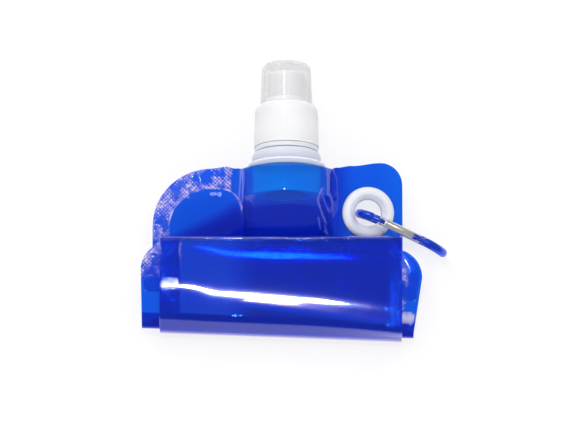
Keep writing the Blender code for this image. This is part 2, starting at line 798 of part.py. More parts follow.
def body_line():
    """The body's middle line as (a, h, half flat, half deep), from the hinge tongue round to the nose."""
    tongue = (TONGUE_FLAT, TONGUE_DEEP)
    round_wire = (WIRE_FLAT, WIRE_DEEP)
    tail = CARABINER_LENGTH - TAIL_BEND
    line = []
    for share in (0.0, 0.35, 0.75, 1.0):
        a = HINGE_PIN_A - TONGUE_DEEP * (1.0 - share)
        deep = TONGUE_DEEP * math.sqrt(max(1.0 - (1.0 - share) ** 2, 0.16))
        line.append((a, gate_height(a), TONGUE_FLAT, deep))
    line.append((HINGE_PIN_A + 0.0028, 2 * TAIL_BEND, *tongue))
    line.append((HINGE_PIN_A + 0.0042, 2 * TAIL_BEND, *round_wire))
    for a, h in arc(tail, TAIL_BEND, TAIL_BEND, 90.0, -90.0, 8):
        line.append((a, h, *round_wire))
    for a, h in arc(NOSE_BEND, NOSE_BEND, NOSE_BEND, 270.0, 90.0, 9):
        line.append((a, h, *round_wire))
    line = [point for i, point in enumerate(line) if i == 0 or point[0:2] != line[i - 1][0:2]]
    nose_end = GATE_TUBE_FROM - 2 * GAP
    line[-1] = (NOSE_BEND - 0.0022, 2 * NOSE_BEND - 0.0002, *round_wire)
    line.append((NOSE_BEND - 0.0006, gate_height(NOSE_BEND), *tongue))
    line.append((nose_end - 0.0005, gate_height(nose_end), *tongue))
    line.append((nose_end, gate_height(nose_end), TONGUE_FLAT, TONGUE_DEEP * 0.7))
    return line


def make_carabiner_body():
    line = body_line()
    rings = []
    for i, (a, h, flat, deep) in enumerate(line):
        before = line[max(i - 1, 0)]
        after = line[min(i + 1, len(line) - 1)]
        tangent = Vector((after[0] - before[0], after[1] - before[1])).normalized()
        side = Vector((-tangent.y, tangent.x))
        ring = []
        for t in angles(12):
            off = side * (deep * math.sin(t))
            ring.append(in_carabiner(a + off.x, h + off.y, flat * math.cos(t) + bow(a)))
        rings.append(ring)
    body = add_object("carabiner_body", loft_mesh("carabiner_body", rings), BLUE_ALUMINIUM)
    smooth(body)
    reach = WIRE_FLAT * 1.5
    add_boolean(body, add_object("hinge_hole", cross_rod("hinge_hole", HINGE_PIN_A, reach)))
    add_boolean(body, add_object("nose_notch", nose_notch_mesh(reach)))


def cross_rod(name, a, reach, radius=PIN_RADIUS + PIN_PLAY, sides=12):
    """A rod square to the carabiner's plane, on the gate's line."""
    h = gate_height(a)
    return rod_mesh(name, radius, in_carabiner(a, h, -reach), in_carabiner(a, h, reach), sides)


def nose_notch_mesh(reach):
    """The notch that holds the gate's nose pin, open towards the inside of the loop."""
    half = PIN_RADIUS + GAP
    top = gate_height(NOSE_PIN_A) + half
    bottom = top - 0.004
    corners = ((-half, bottom), (half, bottom), (half, top), (-half, top))
    rings = [[in_carabiner(NOSE_PIN_A + a, h, n) for a, h in corners] for n in (-reach, reach)]
    return loft_mesh("nose_notch", rings)


def gate_frame():
    """A matrix with local Z along the gate from its nose to its hinge, Y up and X across."""
    _, _, across = carabiner_frame()
    start = in_carabiner(NOSE_PIN_A, gate_height(NOSE_PIN_A))
    along = (in_carabiner(HINGE_PIN_A, gate_height(HINGE_PIN_A)) - start).normalized()
    up = along.cross(across)
    turn = Matrix((across, up, along)).transposed().to_4x4()
    return Matrix.Translation(start) @ turn


def placed(mesh, matrix):
    mesh.transform(matrix)
    return mesh


def box_mesh(name, low, high):
    outline = ((low[0], low[1]), (high[0], low[1]), (high[0], high[1]), (low[0], high[1]))
    return prism_mesh(name, outline, low[2], high[2])


def make_gate():
    frame = gate_frame()
    span = HINGE_PIN_A - NOSE_PIN_A
    overhang = 0.0014
    tube_from = GATE_TUBE_FROM - NOSE_PIN_A
    tube_to = GATE_TUBE_TO - NOSE_PIN_A
    rings = []
    ends = ((-overhang, 0.75), (-overhang * 0.4, 1.0), (span + overhang * 0.4, 1.0), (span + overhang, 0.75))
    for z, share in ends:
        ring = []
        for t in angles(16):
            ring.append((GATE_RADIUS * math.cos(t), GATE_RADIUS * share * math.sin(t), z))
        rings.append(ring)
    gate = add_object("carabiner_gate", placed(loft_mesh("carabiner_gate", rings), frame), PLATED_STEEL)
    smooth(gate)
    wide = GATE_RADIUS * 2
    slots = (("nose_slot", -wide, tube_from), ("hinge_slot", tube_to, span + wide))
    for name, low, high in slots:
        mesh = box_mesh(name, (-GATE_SLOT, -wide, low), (GATE_SLOT, wide, high))
        add_boolean(gate, add_object(name, placed(mesh, frame)))
    start = Vector((0.0, 0.0, GATE_BORE_END - NOSE_PIN_A))
    bore = rod_mesh("gate_bore", GATE_BORE, start, Vector((0.0, 0.0, tube_to + 0.001)), 12)
    add_boolean(gate, add_object("gate_bore", placed(bore, frame)))
    for name, a in (("nose_pin_hole", NOSE_PIN_A), ("hinge_pin_hole", HINGE_PIN_A)):
        add_boolean(gate, add_object(name, cross_rod(name, a, WIRE_FLAT * 1.5)))


def make_gate_pins():
    reach = GATE_RADIUS + 0.0001
    for name, a in (("gate_nose_pin", NOSE_PIN_A), ("gate_hinge_pin", HINGE_PIN_A)):
        mesh = cross_rod(name, a, reach, PIN_RADIUS)
        smooth(add_object(name, mesh, PLATED_STEEL))


def make_plunger_and_spring():
    frame = gate_frame()
    tip = HINGE_PIN_A - NOSE_PIN_A - TONGUE_DEEP - GAP
    foot = tip - PLUNGER_LENGTH
    rings = []
    for z, share in ((foot, 1.0), (tip - 0.0005, 1.0), (tip, 0.5)):
        rings.append([(PLUNGER_RADIUS * share * math.cos(t), PLUNGER_RADIUS * share * math.sin(t), z)
                      for t in angles(12)])
    plunger = add_object("gate_plunger", placed(loft_mesh("gate_plunger", rings), frame), PLATED_STEEL)
    smooth(plunger)
    low = GATE_BORE_END - NOSE_PIN_A + GAP + SPRING_WIRE
    high = foot - GAP - SPRING_WIRE
    steps = SPRING_TURNS * 9
    rings = []
    for i in range(steps + 1):
        t = 2.0 * math.pi * SPRING_TURNS * i / steps
        out = Vector((math.cos(t), math.sin(t), 0.0))
        centre = out * SPRING_RADIUS + Vector((0.0, 0.0, low + (high - low) * i / steps))
        ring = []
        for s in angles(5):
            ring.append(centre + out * (SPRING_WIRE * math.cos(s)) + Vector((0.0, 0.0, SPRING_WIRE * math.sin(s))))
        rings.append(ring)
    spring = add_object("gate_spring", placed(loft_mesh("gate_spring", rings), frame), PLATED_STEEL)
    smooth(spring)


# Joint axes

def add_axes():
    """Empties on the joint axes, with the pieces that turn on them as their children."""
    crease_turn = (0.0, 0.0, -CREASE_TILT)
    pivots = {
        "roll_axis": ((0.0, CREASE_Y, UNROLL_AXIS_Z), crease_turn),
        "carabiner_axis": (tuple(carabiner_pivot()), (0.0, 0.0, 0.0)),
        "gate_axis": (tuple(in_carabiner(HINGE_PIN_A, gate_height(HINGE_PIN_A))), (0.0, 0.0, 0.0)),
    }
    children = {
        "roll_axis": ("front_film_roll", "back_film_roll", "base_gusset"),
        "carabiner_axis": ("carabiner_body",),
        "gate_axis": ("carabiner_gate", "gate_nose_pin", "gate_hinge_pin", "gate_plunger", "gate_spring"),
    }
    for name, (place, turn) in pivots.items():
        empty = bpy.data.objects.new(name, None)
        parts.objects.link(empty)
        empty.location = place
        empty.rotation_euler = turn
        bpy.context.view_layer.update()
        for child in children[name]:
            item = bpy.data.objects[child]
            item.parent = empty
            item.matrix_parent_inverse = empty.matrix_world.inverted()


def build():
    global parts, cutters
    clear_scene()
    parts = new_collection(NAME)
    cutters = new_collection("cutters")
    make_spout()
    make_band()
    make_seal()
    make_cap()
    make_nozzle()
    make_cover()
    make_upper_films()
    make_crease_films()
    make_roll_films()
    make_gusset()
    make_eyelet()
    make_carabiner_body()
    make_gate()
    make_gate_pins()
    make_plunger_and_spring()
    add_axes()


build()
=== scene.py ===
# The looks of a rolled-up film water bottle, built on its CAD frame.
# Metres. +X across the pouch towards the eyelet, +Y towards the spout, +Z up from the table.

import math

import bpy
from mathutils import Matrix, Vector, noise


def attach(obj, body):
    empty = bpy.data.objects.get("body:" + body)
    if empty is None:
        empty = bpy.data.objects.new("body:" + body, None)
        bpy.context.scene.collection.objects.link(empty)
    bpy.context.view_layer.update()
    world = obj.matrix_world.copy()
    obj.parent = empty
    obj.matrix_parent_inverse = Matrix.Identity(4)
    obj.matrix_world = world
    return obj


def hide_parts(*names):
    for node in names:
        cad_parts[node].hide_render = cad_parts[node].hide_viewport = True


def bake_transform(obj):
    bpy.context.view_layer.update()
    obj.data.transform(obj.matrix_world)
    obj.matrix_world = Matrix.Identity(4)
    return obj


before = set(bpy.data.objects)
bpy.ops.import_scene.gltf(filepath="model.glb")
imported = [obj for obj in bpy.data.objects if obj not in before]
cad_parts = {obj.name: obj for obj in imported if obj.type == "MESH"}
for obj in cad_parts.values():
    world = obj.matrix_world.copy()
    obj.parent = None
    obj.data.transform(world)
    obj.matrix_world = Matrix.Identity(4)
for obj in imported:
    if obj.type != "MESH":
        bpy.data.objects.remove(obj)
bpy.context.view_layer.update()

# The back film and the front film, and on which side of the pouch's middle each lies
FACES = (("back", -1), ("front", 1))

# Film
FILM = 0.00022
FILM_OFFSET = 0.00030
WELD_OFFSET = 0.00016
PATTERN_SCALE = 10.0

# Spout, measured along its axis from the pouch's top edge
SPOUT_X = 0.0030
SPOUT_Z = 0.0180
NECK_EDGE_Y = 0.0530
WELD_HALF_WIDTH = 0.0193
WELD_HALF_HEIGHT = 0.0108
WELD_LENGTH = 0.0129
TUBE_HALF = WELD_HALF_WIDTH + 0.0007
BORE = 0.0094
THREAD_PITCH = 0.0040
THREAD_ROOT = 0.0003
RIB_COLUMNS = 240
RIB_DEPTH = 0.012
RIBS_FROM = 0.0110
RIBS_TO = 0.0252
RIBS_OUTSIDE = 0.0142

# Pouch outline
WAIST_LEFT = -0.0555
WAIST_RIGHT = 0.0562
SHOULDER_LEFT = WAIST_LEFT - 0.0039
SHOULDER_RADIUS = 0.0264
SHOULDER_ARC_Y = 0.0285
TAB_RIGHT = WAIST_RIGHT + 0.0008
TAB_TOP_Y = 0.0572
TAB_CORNER = 0.0102
EDGE_LIFT_LEFT = 0.0080
EDGE_LIFT_RIGHT = 0.0105
SHOULDER_FALL = 0.0090

# Loose pocket in the left shoulder
POCKET_X = -0.0330
POCKET_LEFT = 0.0185
POCKET_RIGHT = 0.0160
POCKET_FROM_Y = 0.0280
POCKET_HEIGHT = 0.0176
POCKET_BULGE = 0.0012

# Roll
CREASE_Y = -0.0158
CREASE_SKEW = math.tan(math.radians(2.2))
FOOT_CORNER_Y = -0.0194
FOOT_CORNER_Z = 0.0154
PANEL_FROM_Y = -0.0172
PANEL_FROM_Z = 0.0156
FOOT_FRONT_Y = -0.0240
FOOT_FRONT_Z = 0.0070
FLAT_Z = 0.00045
ROLL_TOP_Y = 0.0195
ROLL_TOP_Z = 0.0142
ROLL_TOP_RADIUS = 0.0018
LIE_FLAT_Y = 0.0080
INNER_FOOT_Y = -0.0209
INNER_FOOT_Z = 0.00735
INNER_FOOT_RADIUS = 0.00135
BASE_END_Y = 0.0177
BASE_END_Z = 0.01405
BASE_HALF = (WAIST_RIGHT - WAIST_LEFT) / 2 + 0.0092
BASE_MIDDLE = (WAIST_RIGHT + WAIST_LEFT) / 2
BASE_CORNER = 0.0140
HIP_FROM_Y = -0.0165
GUSSET_FOLD_Y = -0.0060
GUSSET_INSET = 0.0012

# Welded side seams
LEFT_SEAM = 0.0092
RIGHT_SEAM = 0.0062
BASE_LEFT_SEAM = 0.0102
BASE_RIGHT_SEAM = 0.0100

# Base end's arch: its slope at its crease and from ARCH_TURN_Y on, and how fast it then levels
ARCH_STEEP = 0.190
ARCH_LEVEL = 0.0793
ARCH_TURN_Y = 0.0070
ARCH_FALL = 5.8

# Front panel
RIDGE_X = -0.0316
RIDGE_Y = -0.0066
RIDGE_SLOPE = 0.050
RIDGE_LIFT = 0.0022
MIDDLE_SLOPE = 0.0325
# The front panel's painted light and shade: a lighter lens between LENS_FROM_Y and LENS_TO_Y, darker bands
# below FOOT_BAND_Y and above TOP_BAND_Y, and a lighter part left of PALE_FROM_X.
LENS_FROM_Y = 0.0101
LENS_TO_Y = 0.0148
FOOT_BAND_Y = -0.0128
TOP_BAND_Y = 0.0165
PALE_FROM_X = -0.0080

# Eyelet
EYELET_X = TAB_RIGHT - 0.0161
EYELET_Y = 0.0340
EYELET_Z = 0.0090
EYELET_SLOPE_X = -0.08
EYELET_SLOPE_Y = 0.15
EYELET_HOLE = 0.0063
EYELET_FLAT = 0.0126
EYELET_FADE_X = 0.0055
EYELET_FADE_Y = 0.0120

# Carabiner
CARABINER_YAW = math.radians(26.0)
CARABINER_LEAN = Vector((-0.096, -0.197, 0.976)).normalized()
CARABINER_REST = math.radians(184.0)
CARABINER_LENGTH = 0.0430
CARABINER_BOW = 0.0012
NOSE_BEND = 0.0085
TAIL_BEND = 0.0079
WIRE_FLAT = 0.0021
WIRE_DEEP = 0.0019
TONGUE_FLAT = 0.0010
TONGUE_DEEP = 0.0015
NOSE_PIN_A = 0.0116
HINGE_PIN_A = 0.0300
PIN_RADIUS = 0.0005
PIN_HOLE_RADIUS = 0.00056
GATE_RADIUS = 0.0019
GATE_SLOT_WIDTH = 0.0025
NOSE_SLOT_TO = 0.0022
HINGE_SLOT_FROM = 0.0159

# Rounding at the gate's ends: distance past the pin, and share of the full depth
GATE_ENDS = ((0.0014, 0.70), (0.0011, 0.90), (0.0005, 1.0))

# Colours
WHITE = (1.0, 1.0, 1.0)
# Pink tint on the film's reflections: painted colour of the room's light.
FILM_GLOSS = (1.0, 0.83, 0.98)
# Film tint by the depth attribute: nearly clear at 0, the film's own blue about 0.5, and deeper towards 1,
# which carries painted shade.
FILM_TINTS = (
    (0.0, (0.80, 0.92, 0.995)), (0.40, (0.23, 0.735, 0.995)),
    (0.5, (0.23, 0.640, 0.985)), (1.0, (0.10, 0.18, 0.74)),
)
# The knurled weld's haze colour, whitening at its top into the painted highlights.
FROST_AND_HIGHLIGHT_TINTS = (
    (0.0, (0.02, 0.12, 1.0)), (0.22, (0.03, 0.16, 1.0)),
    (0.75, (0.80, 0.66, 0.95)), (1.0, (0.95, 0.86, 0.98)),
)
ROOM_LIGHT = (0.56, 0.56, 0.58)
ROOM_IN_GLOSS = ((0.0, (0.17, 0.17, 0.19)), (0.50, (0.12, 0.12, 0.14)), (1.0, (0.10, 0.10, 0.12)))

# Floor
FLOOR_GLOW = 0.74
FLOOR_SIZE = 6.0
FLOOR_DROP = 0.0002

# Camera
CAMERA_ELEVATION = math.radians(76.0)
CAMERA_DISTANCE = 1.6
CAMERA_TARGET = (0.00256, 0.03307, 0.0100)
SENSOR_WIDTH = 36.0
VIEW_WIDTH = 0.2655


# Working by hand: selecting, shaping and finishing

def clear_selection():
    if bpy.context.object is not None and bpy.context.object.mode != "OBJECT":
        bpy.ops.object.mode_set(mode="OBJECT")
    bpy.ops.object.select_all(action="DESELECT")


def only(item):
    clear_selection()
    item.select_set(True)
    bpy.context.view_layer.objects.active = item


def open_mesh(item, select="SELECT"):
    """Takes a piece into edit mode, with its whole mesh selected or nothing of it."""
    only(item)
    bpy.ops.object.mode_set(mode="EDIT")
    bpy.ops.mesh.select_all(action=select)


def close_mesh(face_outwards=False):
    if face_outwards:
        bpy.ops.mesh.select_all(action="SELECT")
        bpy.ops.mesh.normals_make_consistent(inside=False)
    bpy.ops.object.mode_set(mode="OBJECT")


def new_shape(name, add, **settings):
    """A new piece from one of Blender's own shapes."""
    clear_selection()
    add(**settings)
    item = bpy.context.object
    item.name = name
    return item


def finish_modifiers(item):
    only(item)
    for modifier in list(item.modifiers):
        bpy.ops.object.modifier_apply(modifier=modifier.name)


def settle(item):
    """Puts the piece's place into its mesh."""
    only(item)
    bpy.ops.object.transform_apply(location=True, rotation=True, scale=True)


def settle_at(item, place, direction):
    """Stands the piece at a place with its Z along a direction."""
    item.location = place
    item.rotation_mode = "QUATERNION"
    item.rotation_quaternion = direction.to_track_quat("Z", "Y")
    settle(item)


def bevel_edges(item, width, segments):
    bevel = item.modifiers.new("edges", "BEVEL")
    bevel.width = width
    bevel.segments = segments
    bevel.limit_method = "ANGLE"
    bevel.angle_limit = math.radians(40.0)
    finish_modifiers(item)


def cut_with(item, tool):
    cut = item.modifiers.new("cut", "BOOLEAN")
    cut.operation = "DIFFERENCE"
    cut.solver = "EXACT"
    cut.object = tool
    finish_modifiers(item)
    bpy.data.objects.remove(tool)


def paint(item, material):
    item.data.materials.clear()
    item.data.materials.append(material)


def finish_piece(item, material, body, slot, *nodes, angle=35.0):
    """Smooths and paints a piece, and says what it rides on and which CAD nodes it stands for."""
    only(item)
    bpy.ops.object.shade_smooth_by_angle(angle=math.radians(angle))
    paint(item, material)
    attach(item, body)
    if nodes:
        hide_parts(*nodes)


def turned(name, rings, segments=128, fill_ends=False):
    """A piece shaped from a circle by extruding and scaling its edge, ring by ring."""
    radius, height = rings[0]
    item = new_shape(name, bpy.ops.mesh.primitive_circle_add, vertices=segments, radius=radius,
                     location=(0.0, 0.0, height))
    settle(item)
    open_mesh(item)
    if fill_ends:
        bpy.ops.mesh.edge_face_add()
        bpy.ops.mesh.select_all(action="SELECT")
    for next_radius, next_height in rings[1:]:
        bpy.ops.mesh.extrude_edges_move(
            TRANSFORM_OT_translate={"value": (0.0, 0.0, next_height - height)}
        )
        factor = next_radius / radius
        bpy.ops.transform.resize(value=(factor, factor, 1.0), center_override=(0.0, 0.0, next_height))
        radius, height = next_radius, next_height
    if fill_ends:
        bpy.ops.mesh.edge_face_add()
    bpy.ops.mesh.select_all(action="SELECT")
    bpy.ops.mesh.remove_doubles(threshold=0.000002)
    close_mesh(face_outwards=True)
    return item


def on_spout(item, material, body, slot, *nodes):
    """Lays a turned piece along the spout's axis and finishes it."""
    item.location = (SPOUT_X, NECK_EDGE_Y, SPOUT_Z)
    item.rotation_euler = (math.radians(-90.0), 0.0, 0.0)
    settle(item)
    finish_piece(item, material, body, slot, *nodes)


def millimetres(points):
    return [(r * 0.001, h * 0.001) for r, h in points]


def arc(r, h, wide, high, angles):
    """Points on an ellipse round (r, h)."""
    turns = [math.radians(angle) for angle in angles]
    return [(r + wide * math.cos(t), h + high * math.sin(t)) for t in turns]


def on_curve(start, corner, end, t):
    """A place on the quadratic curve that rounds off a corner."""
    return start * (1 - t) ** 2 + corner * 2 * t * (1 - t) + end * t ** 2


def rounded(points, radius, steps=3):
    """Rings through points in millimetres, with each inner corner rounded off."""
    rings = [points[0]]
    for before, corner, after in zip(points, points[1:], points[2:]):
        corner = Vector(corner)
        into = Vector(before) - corner
        out = Vector(after) - corner
        cut = min(radius, into.length * 0.45, out.length * 0.45)
        start = corner + into.normalized() * cut
        end = corner + out.normalized() * cut
        rings += [on_curve(start, corner, end, i / steps) for i in range(steps + 1)]
    rings.append(points[-1])
    return millimetres(rings)


# Node helpers

def fill(tree, node, inputs):
    """Sets or links a node's inputs. A colour is three numbers."""
    for name, value in inputs.items():
        socket = node.inputs[name]
        if isinstance(value, bpy.types.NodeSocket):
            tree.links.new(value, socket)
        elif socket.type == "RGBA":
            socket.default_value = (*value, 1.0)
        else:
            socket.default_value = value


def add_node(tree, kind, inputs=None, **settings):
    node = tree.nodes.new("ShaderNode" + kind)
    for key, value in settings.items():
        setattr(node, key, value)
    fill(tree, node, inputs or {})
    return node


def new_material(name):
    material = bpy.data.materials.new(name)
    material.use_nodes = True
    tree = material.node_tree
    return material, tree, tree.nodes["Principled BSDF"]


def math_node(tree, operation, first, second):
    return add_node(tree, "Math", {0: first, 1: second}, operation=operation).outputs[0]


def noise_node(tree, vector, scale, detail=3.0, roughness=0.5):
    inputs = {"Vector": vector, "Scale": scale, "Detail": detail, "Roughness": roughness}
    return add_node(tree, "TexNoise", inputs).outputs["Fac"]


def ramp_node(tree, value, stops):
    node = add_node(tree, "ValToRGB", {"Fac": value})
    ramp = node.color_ramp
    while len(ramp.elements) < len(stops):
        ramp.elements.new(0.5)
    for element, (place, colour) in zip(ramp.elements, stops):
        element.position = place
        element.color = (*colour, 1.0)
    return node.outputs["Color"]


def range_node(tree, value, low, high, to_low, to_high):
    inputs = {"Value": value, "From Min": low, "From Max": high, "To Min": to_low, "To Max": to_high}
    return add_node(tree, "MapRange", inputs).outputs["Result"]


def bump_node(tree, height, strength, distance, **normal):
    inputs = {"Height": height, "Strength": strength, "Distance": distance, **normal}
    return add_node(tree, "Bump", inputs).outputs["Normal"]


def mix_node(tree, share, first, second):
    """A share of the second shader over the first."""
    return add_node(tree, "MixShader", {0: share, 1: first, 2: second}).outputs[0]


def glance_node(tree, facing, power, gain, base):
    """A mirror's share of the light: base face on, more at a glance."""
    steep = math_node(tree, "POWER", facing, power)
    return math_node(tree, "ADD", math_node(tree, "MULTIPLY", steep, gain), base)


def facing_node(tree, **normal):
    return add_node(tree, "LayerWeight", {"Blend": 0.5, **normal}).outputs["Facing"]


# Materials

def knurl_pattern(tree, pattern, weld):
    """The crossed fine lines pressed into the welded film. Above 1 or below 0 it gives painted highlights
    and haze instead.
    """
    lines = []
    for turn in (45.0, -45.0):
        mapping = add_node(tree, "Mapping", {"Vector": pattern, "Rotation": (0.0, 0.0, math.radians(turn))})
        wave = {"Vector": mapping.outputs["Vector"], "Scale": 25.0, "Distortion": 0.8, "Detail": 1.0}
        wave = add_node(tree, "TexWave", wave, wave_type="BANDS", bands_direction="X")
        lines.append(wave.outputs["Fac"])
    crossed = range_node(tree, math_node(tree, "MULTIPLY", *lines), 0.0, 0.9, 0.36, 0.72)
    patchy = range_node(tree, noise_node(tree, pattern, 62.0, 5.0, 0.7), 0.38, 0.62, 0.45, 1.25)
    broad = range_node(tree, noise_node(tree, pattern, 11.0, 3.0, 0.6), 0.40, 0.60, 0.35, 1.9)
    pressed = math_node(tree, "MAXIMUM", math_node(tree, "MINIMUM", weld, 1.0), 0.0)
    pressed = math_node(tree, "MULTIPLY", pressed, broad)
    knurl_and_highlight = math_node(tree, "MULTIPLY", math_node(tree, "MULTIPLY", crossed, pressed), patchy)
    above = math_node(tree, "SUBTRACT", weld, 1.0)
    below = math_node(tree, "MULTIPLY", weld, -1.0)
    return math_node(tree, "MAXIMUM", knurl_and_highlight, math_node(tree, "MAXIMUM", above, below))


def blue_film_material():
    """Clear blue film: tinted see-through, glossy, knurled where it is welded, with painted highlights from
    its weld attribute and painted shade from its depth attribute.
    """
    material, tree, haze_and_highlight = new_material("clear_blue_film")
    pattern = add_node(tree, "UVMap", uv_map="pattern").outputs["UV"]
    weld = add_node(tree, "Attribute", attribute_name="weld").outputs["Fac"]
    depth = add_node(tree, "Attribute", attribute_name="depth").outputs["Fac"]
    knurl_and_highlight = knurl_pattern(tree, pattern, weld)
    surface = bump_node(tree, noise_node(tree, pattern, 5.0, 3.0, 0.45), 0.06, 0.0008)
    surface = bump_node(tree, knurl_and_highlight, 1.0, 0.00022, Normal=surface)
    tint = add_node(tree, "BsdfTransparent", {"Color": ramp_node(tree, depth, FILM_TINTS)})
    frost_and_highlight = ramp_node(tree, knurl_and_highlight, FROST_AND_HIGHLIGHT_TINTS)
    fill(tree, haze_and_highlight, {"Base Color": frost_and_highlight, "Roughness": 0.6, "Specular IOR Level": 0.0})
    hazy = range_node(tree, knurl_and_highlight, 0.0, 1.5, 0.095, 0.85)
    body = mix_node(tree, hazy, tint.outputs["BSDF"], haze_and_highlight.outputs["BSDF"])
    gloss = add_node(tree, "BsdfAnisotropic", {"Color": FILM_GLOSS, "Roughness": 0.055, "Normal": surface})
    share = glance_node(tree, facing_node(tree, Normal=surface), 3.4, 1.5, 0.05)
    film = mix_node(tree, share, body, gloss.outputs["BSDF"])
    tree.links.new(film, tree.nodes["Material Output"].inputs["Surface"])
    return material


def solid_material(name, colour, tints, rough, grain, **inputs):
    """A surface of one kind. colour, rough and grain start with the scale of their noise."""
    material, tree, shader = new_material(name)
    place = add_node(tree, "TexCoord").outputs["Object"]
    fill(tree, shader, {
        "Base Color": ramp_node(tree, noise_node(tree, place, *colour), tints),
        "Roughness": range_node(tree, noise_node(tree, place, rough[0], 2.0), 0.3, 0.7, *rough[1:]),
        "Normal": bump_node(tree, noise_node(tree, place, *grain[:2]), *grain[2:]),
    })
    fill(tree, shader, {name.replace("_", " "): value for name, value in inputs.items()})
    return material


def white_plastic_material(name, dull, clean):
    return solid_material(
        name, (60.0, 4.0), ((0.35, dull), (0.70, clean)), (220.0, 0.40, 0.52), (900.0, 3.0, 0.15, 0.0001),
        Subsurface_Weight=0.5, Subsurface_Radius=(1.0, 1.0, 1.0), Subsurface_Scale=0.0025)


def milky_plastic_material():
    """The dust cover: milky and half see-through."""
    tints = ((0.30, (0.86, 0.86, 0.855)), (0.75, (0.90, 0.90, 0.895)))
    material = solid_material(
        "milky_clear_plastic", (45.0, 3.0), tints, (180.0, 0.18, 0.30), (500.0, 2.0, 0.12, 0.0001))
    tree = material.node_tree
    shader = tree.nodes["Principled BSDF"].outputs["BSDF"]
    clear = add_node(tree, "BsdfTransparent", {"Color": WHITE}).outputs["BSDF"]
    glow = add_node(tree, "BsdfTranslucent", {"Color": (0.93, 0.93, 0.925)}).outputs["BSDF"]
    gloss = add_node(tree, "BsdfAnisotropic", {"Roughness": 0.10}).outputs["BSDF"]
    facing = facing_node(tree)
    haze_amount = range_node(tree, math_node(tree, "POWER", facing, 1.9), 0.0, 1.0, 0.03, 0.98)
    body = mix_node(tree, haze_amount, clear, mix_node(tree, 0.65, shader, glow))
    skin = mix_node(tree, glance_node(tree, facing, 5.0, 0.5, 0.022), body, gloss)
    tree.links.new(skin, tree.nodes["Material Output"].inputs["Surface"])
    return material


def seal_material():
    material, tree, shader = new_material("pressed_foam")
    place = add_node(tree, "TexCoord").outputs["Object"]
    tints = ((0.35, (0.74, 0.75, 0.76)), (0.70, (0.84, 0.85, 0.86)))
    cells = add_node(tree, "TexVoronoi", {"Scale": 2500.0, "Vector": place}).outputs["Distance"]
    fill(tree, shader, {
        "Base Color": ramp_node(tree, noise_node(tree, place, 400.0, 4.0), tints),
        "Roughness": 0.75,
        "Normal": bump_node(tree, cells, 0.4, 0.0001),
    })
    return material


BLUE_FILM = blue_film_material()
WHITE_PLASTIC = white_plastic_material("white_moulded_plastic", (0.930, 0.935, 0.948), (0.950, 0.955, 0.966))
# A dimmer, bluish copy of the white plastic for the spout and eyelet: painted shade with the blue cast of
# the film round them.
SPOUT_SHADED_PLASTIC = white_plastic_material("spout_plastic_painted_shade", (0.840, 0.860, 0.915), (0.870, 0.890, 0.940))
# A darker copy of the white plastic for the tamper ring: painted shade.
RING_SHADED_PLASTIC = white_plastic_material("ring_plastic_painted_shade", (0.700, 0.730, 0.815), (0.740, 0.770, 0.860))
# A brighter copy of the white plastic for the nozzle: painted light where the cover shades it.
NOZZLE_LIT_PLASTIC = white_plastic_material("nozzle_plastic_painted_light", (0.970, 0.970, 0.975), (0.985, 0.985, 0.988))
MILKY_PLASTIC = milky_plastic_material()
SEAL_FOAM = seal_material()
BLUE_ALUMINIUM = solid_material(
    "blue_anodised_aluminium", (130.0, 4.0), ((0.30, (0.010, 0.050, 0.680)), (0.72, (0.018, 0.090, 0.800))),
    (300.0, 0.17, 0.24), (900.0, 2.0, 0.1, 0.00001), Metallic=0.5, Coat_Weight=0.35, Coat_Roughness=0.15)
PLATED_STEEL = solid_material(
    "plated_steel", (220.0, 3.0), ((0.30, (0.68, 0.665, 0.62)), (0.70, (0.80, 0.785, 0.74))),
    (260.0, 0.20, 0.27), (900.0, 2.0, 0.1, 0.00001), Metallic=0.65)


# Shape of the upper pouch

def clamp(value, low=0.0, high=1.0):
    return min(max(value, low), high)


def ease(value):
    t = clamp(value)
    return t * t * (3.0 - 2.0 * t)


def bell(value):
    return math.exp(-value * value)


def blend(first, second, share):
    return first + (second - first) * share


def speckle(x, y, z):
    """Smooth noise, about -1 to 1."""
    return noise.noise(Vector((x, y, z)))


def left_of(along):
    return Vector((-along.y, along.x))


def rise(y):
    run = NECK_EDGE_Y - WELD_LENGTH - LIE_FLAT_Y
    return clamp((y - LIE_FLAT_Y) / run) ** 1.3


def tube_half_height(x, y):
    """Half the height of the film tube round the boat-shaped weld base."""
    share = min(abs(x - SPOUT_X) / TUBE_HALF, 1.0)
    return (WELD_HALF_HEIGHT + 0.00015) * (1.0 - share * share) * rise(y)


def pocket_reach(x, y):
    """Below 1 inside the loose pocket in the left shoulder, 1 on its weld line."""
    away = x - POCKET_X
    half, power = (POCKET_LEFT, 2.0) if away < 0.0 else (POCKET_RIGHT, 2.5)
    up = max(y - POCKET_FROM_Y, 0.0) / POCKET_HEIGHT
    return (abs(away) / half) ** power + up ** power


def pocket_share(x, y):
    return ease((1.0 - pocket_reach(x, y)) * 1.3) * ease((y - LIE_FLAT_Y) / 0.016)


def middle_height(x, y):
    d = abs(x - SPOUT_X)
    at_tube = FLAT_Z + (SPOUT_Z - FLAT_Z) * rise(y)
    if d <= TUBE_HALF:
        return at_tube
    lift = EDGE_LIFT_RIGHT if x > SPOUT_X else EDGE_LIFT_LEFT
    run = NECK_EDGE_Y - LIE_FLAT_Y
    edge = FLAT_Z + lift * clamp((y - LIE_FLAT_Y) / run, high=1.2) ** 0.8
    height = edge + (at_tube - edge) * math.exp(-(d - TUBE_HALF) / SHOULDER_FALL)
    away_x = (abs(x - EYELET_X) - EYELET_FLAT) / EYELET_FADE_X
    away_y = (abs(y - EYELET_Y) - EYELET_FLAT) / EYELET_FADE_Y
    weight = 1.0 - ease(max(away_x, away_y))
    plane = EYELET_Z + EYELET_SLOPE_X * (x - EYELET_X) + EYELET_SLOPE_Y * (y - EYELET_Y)
    return blend(height, plane, weight)


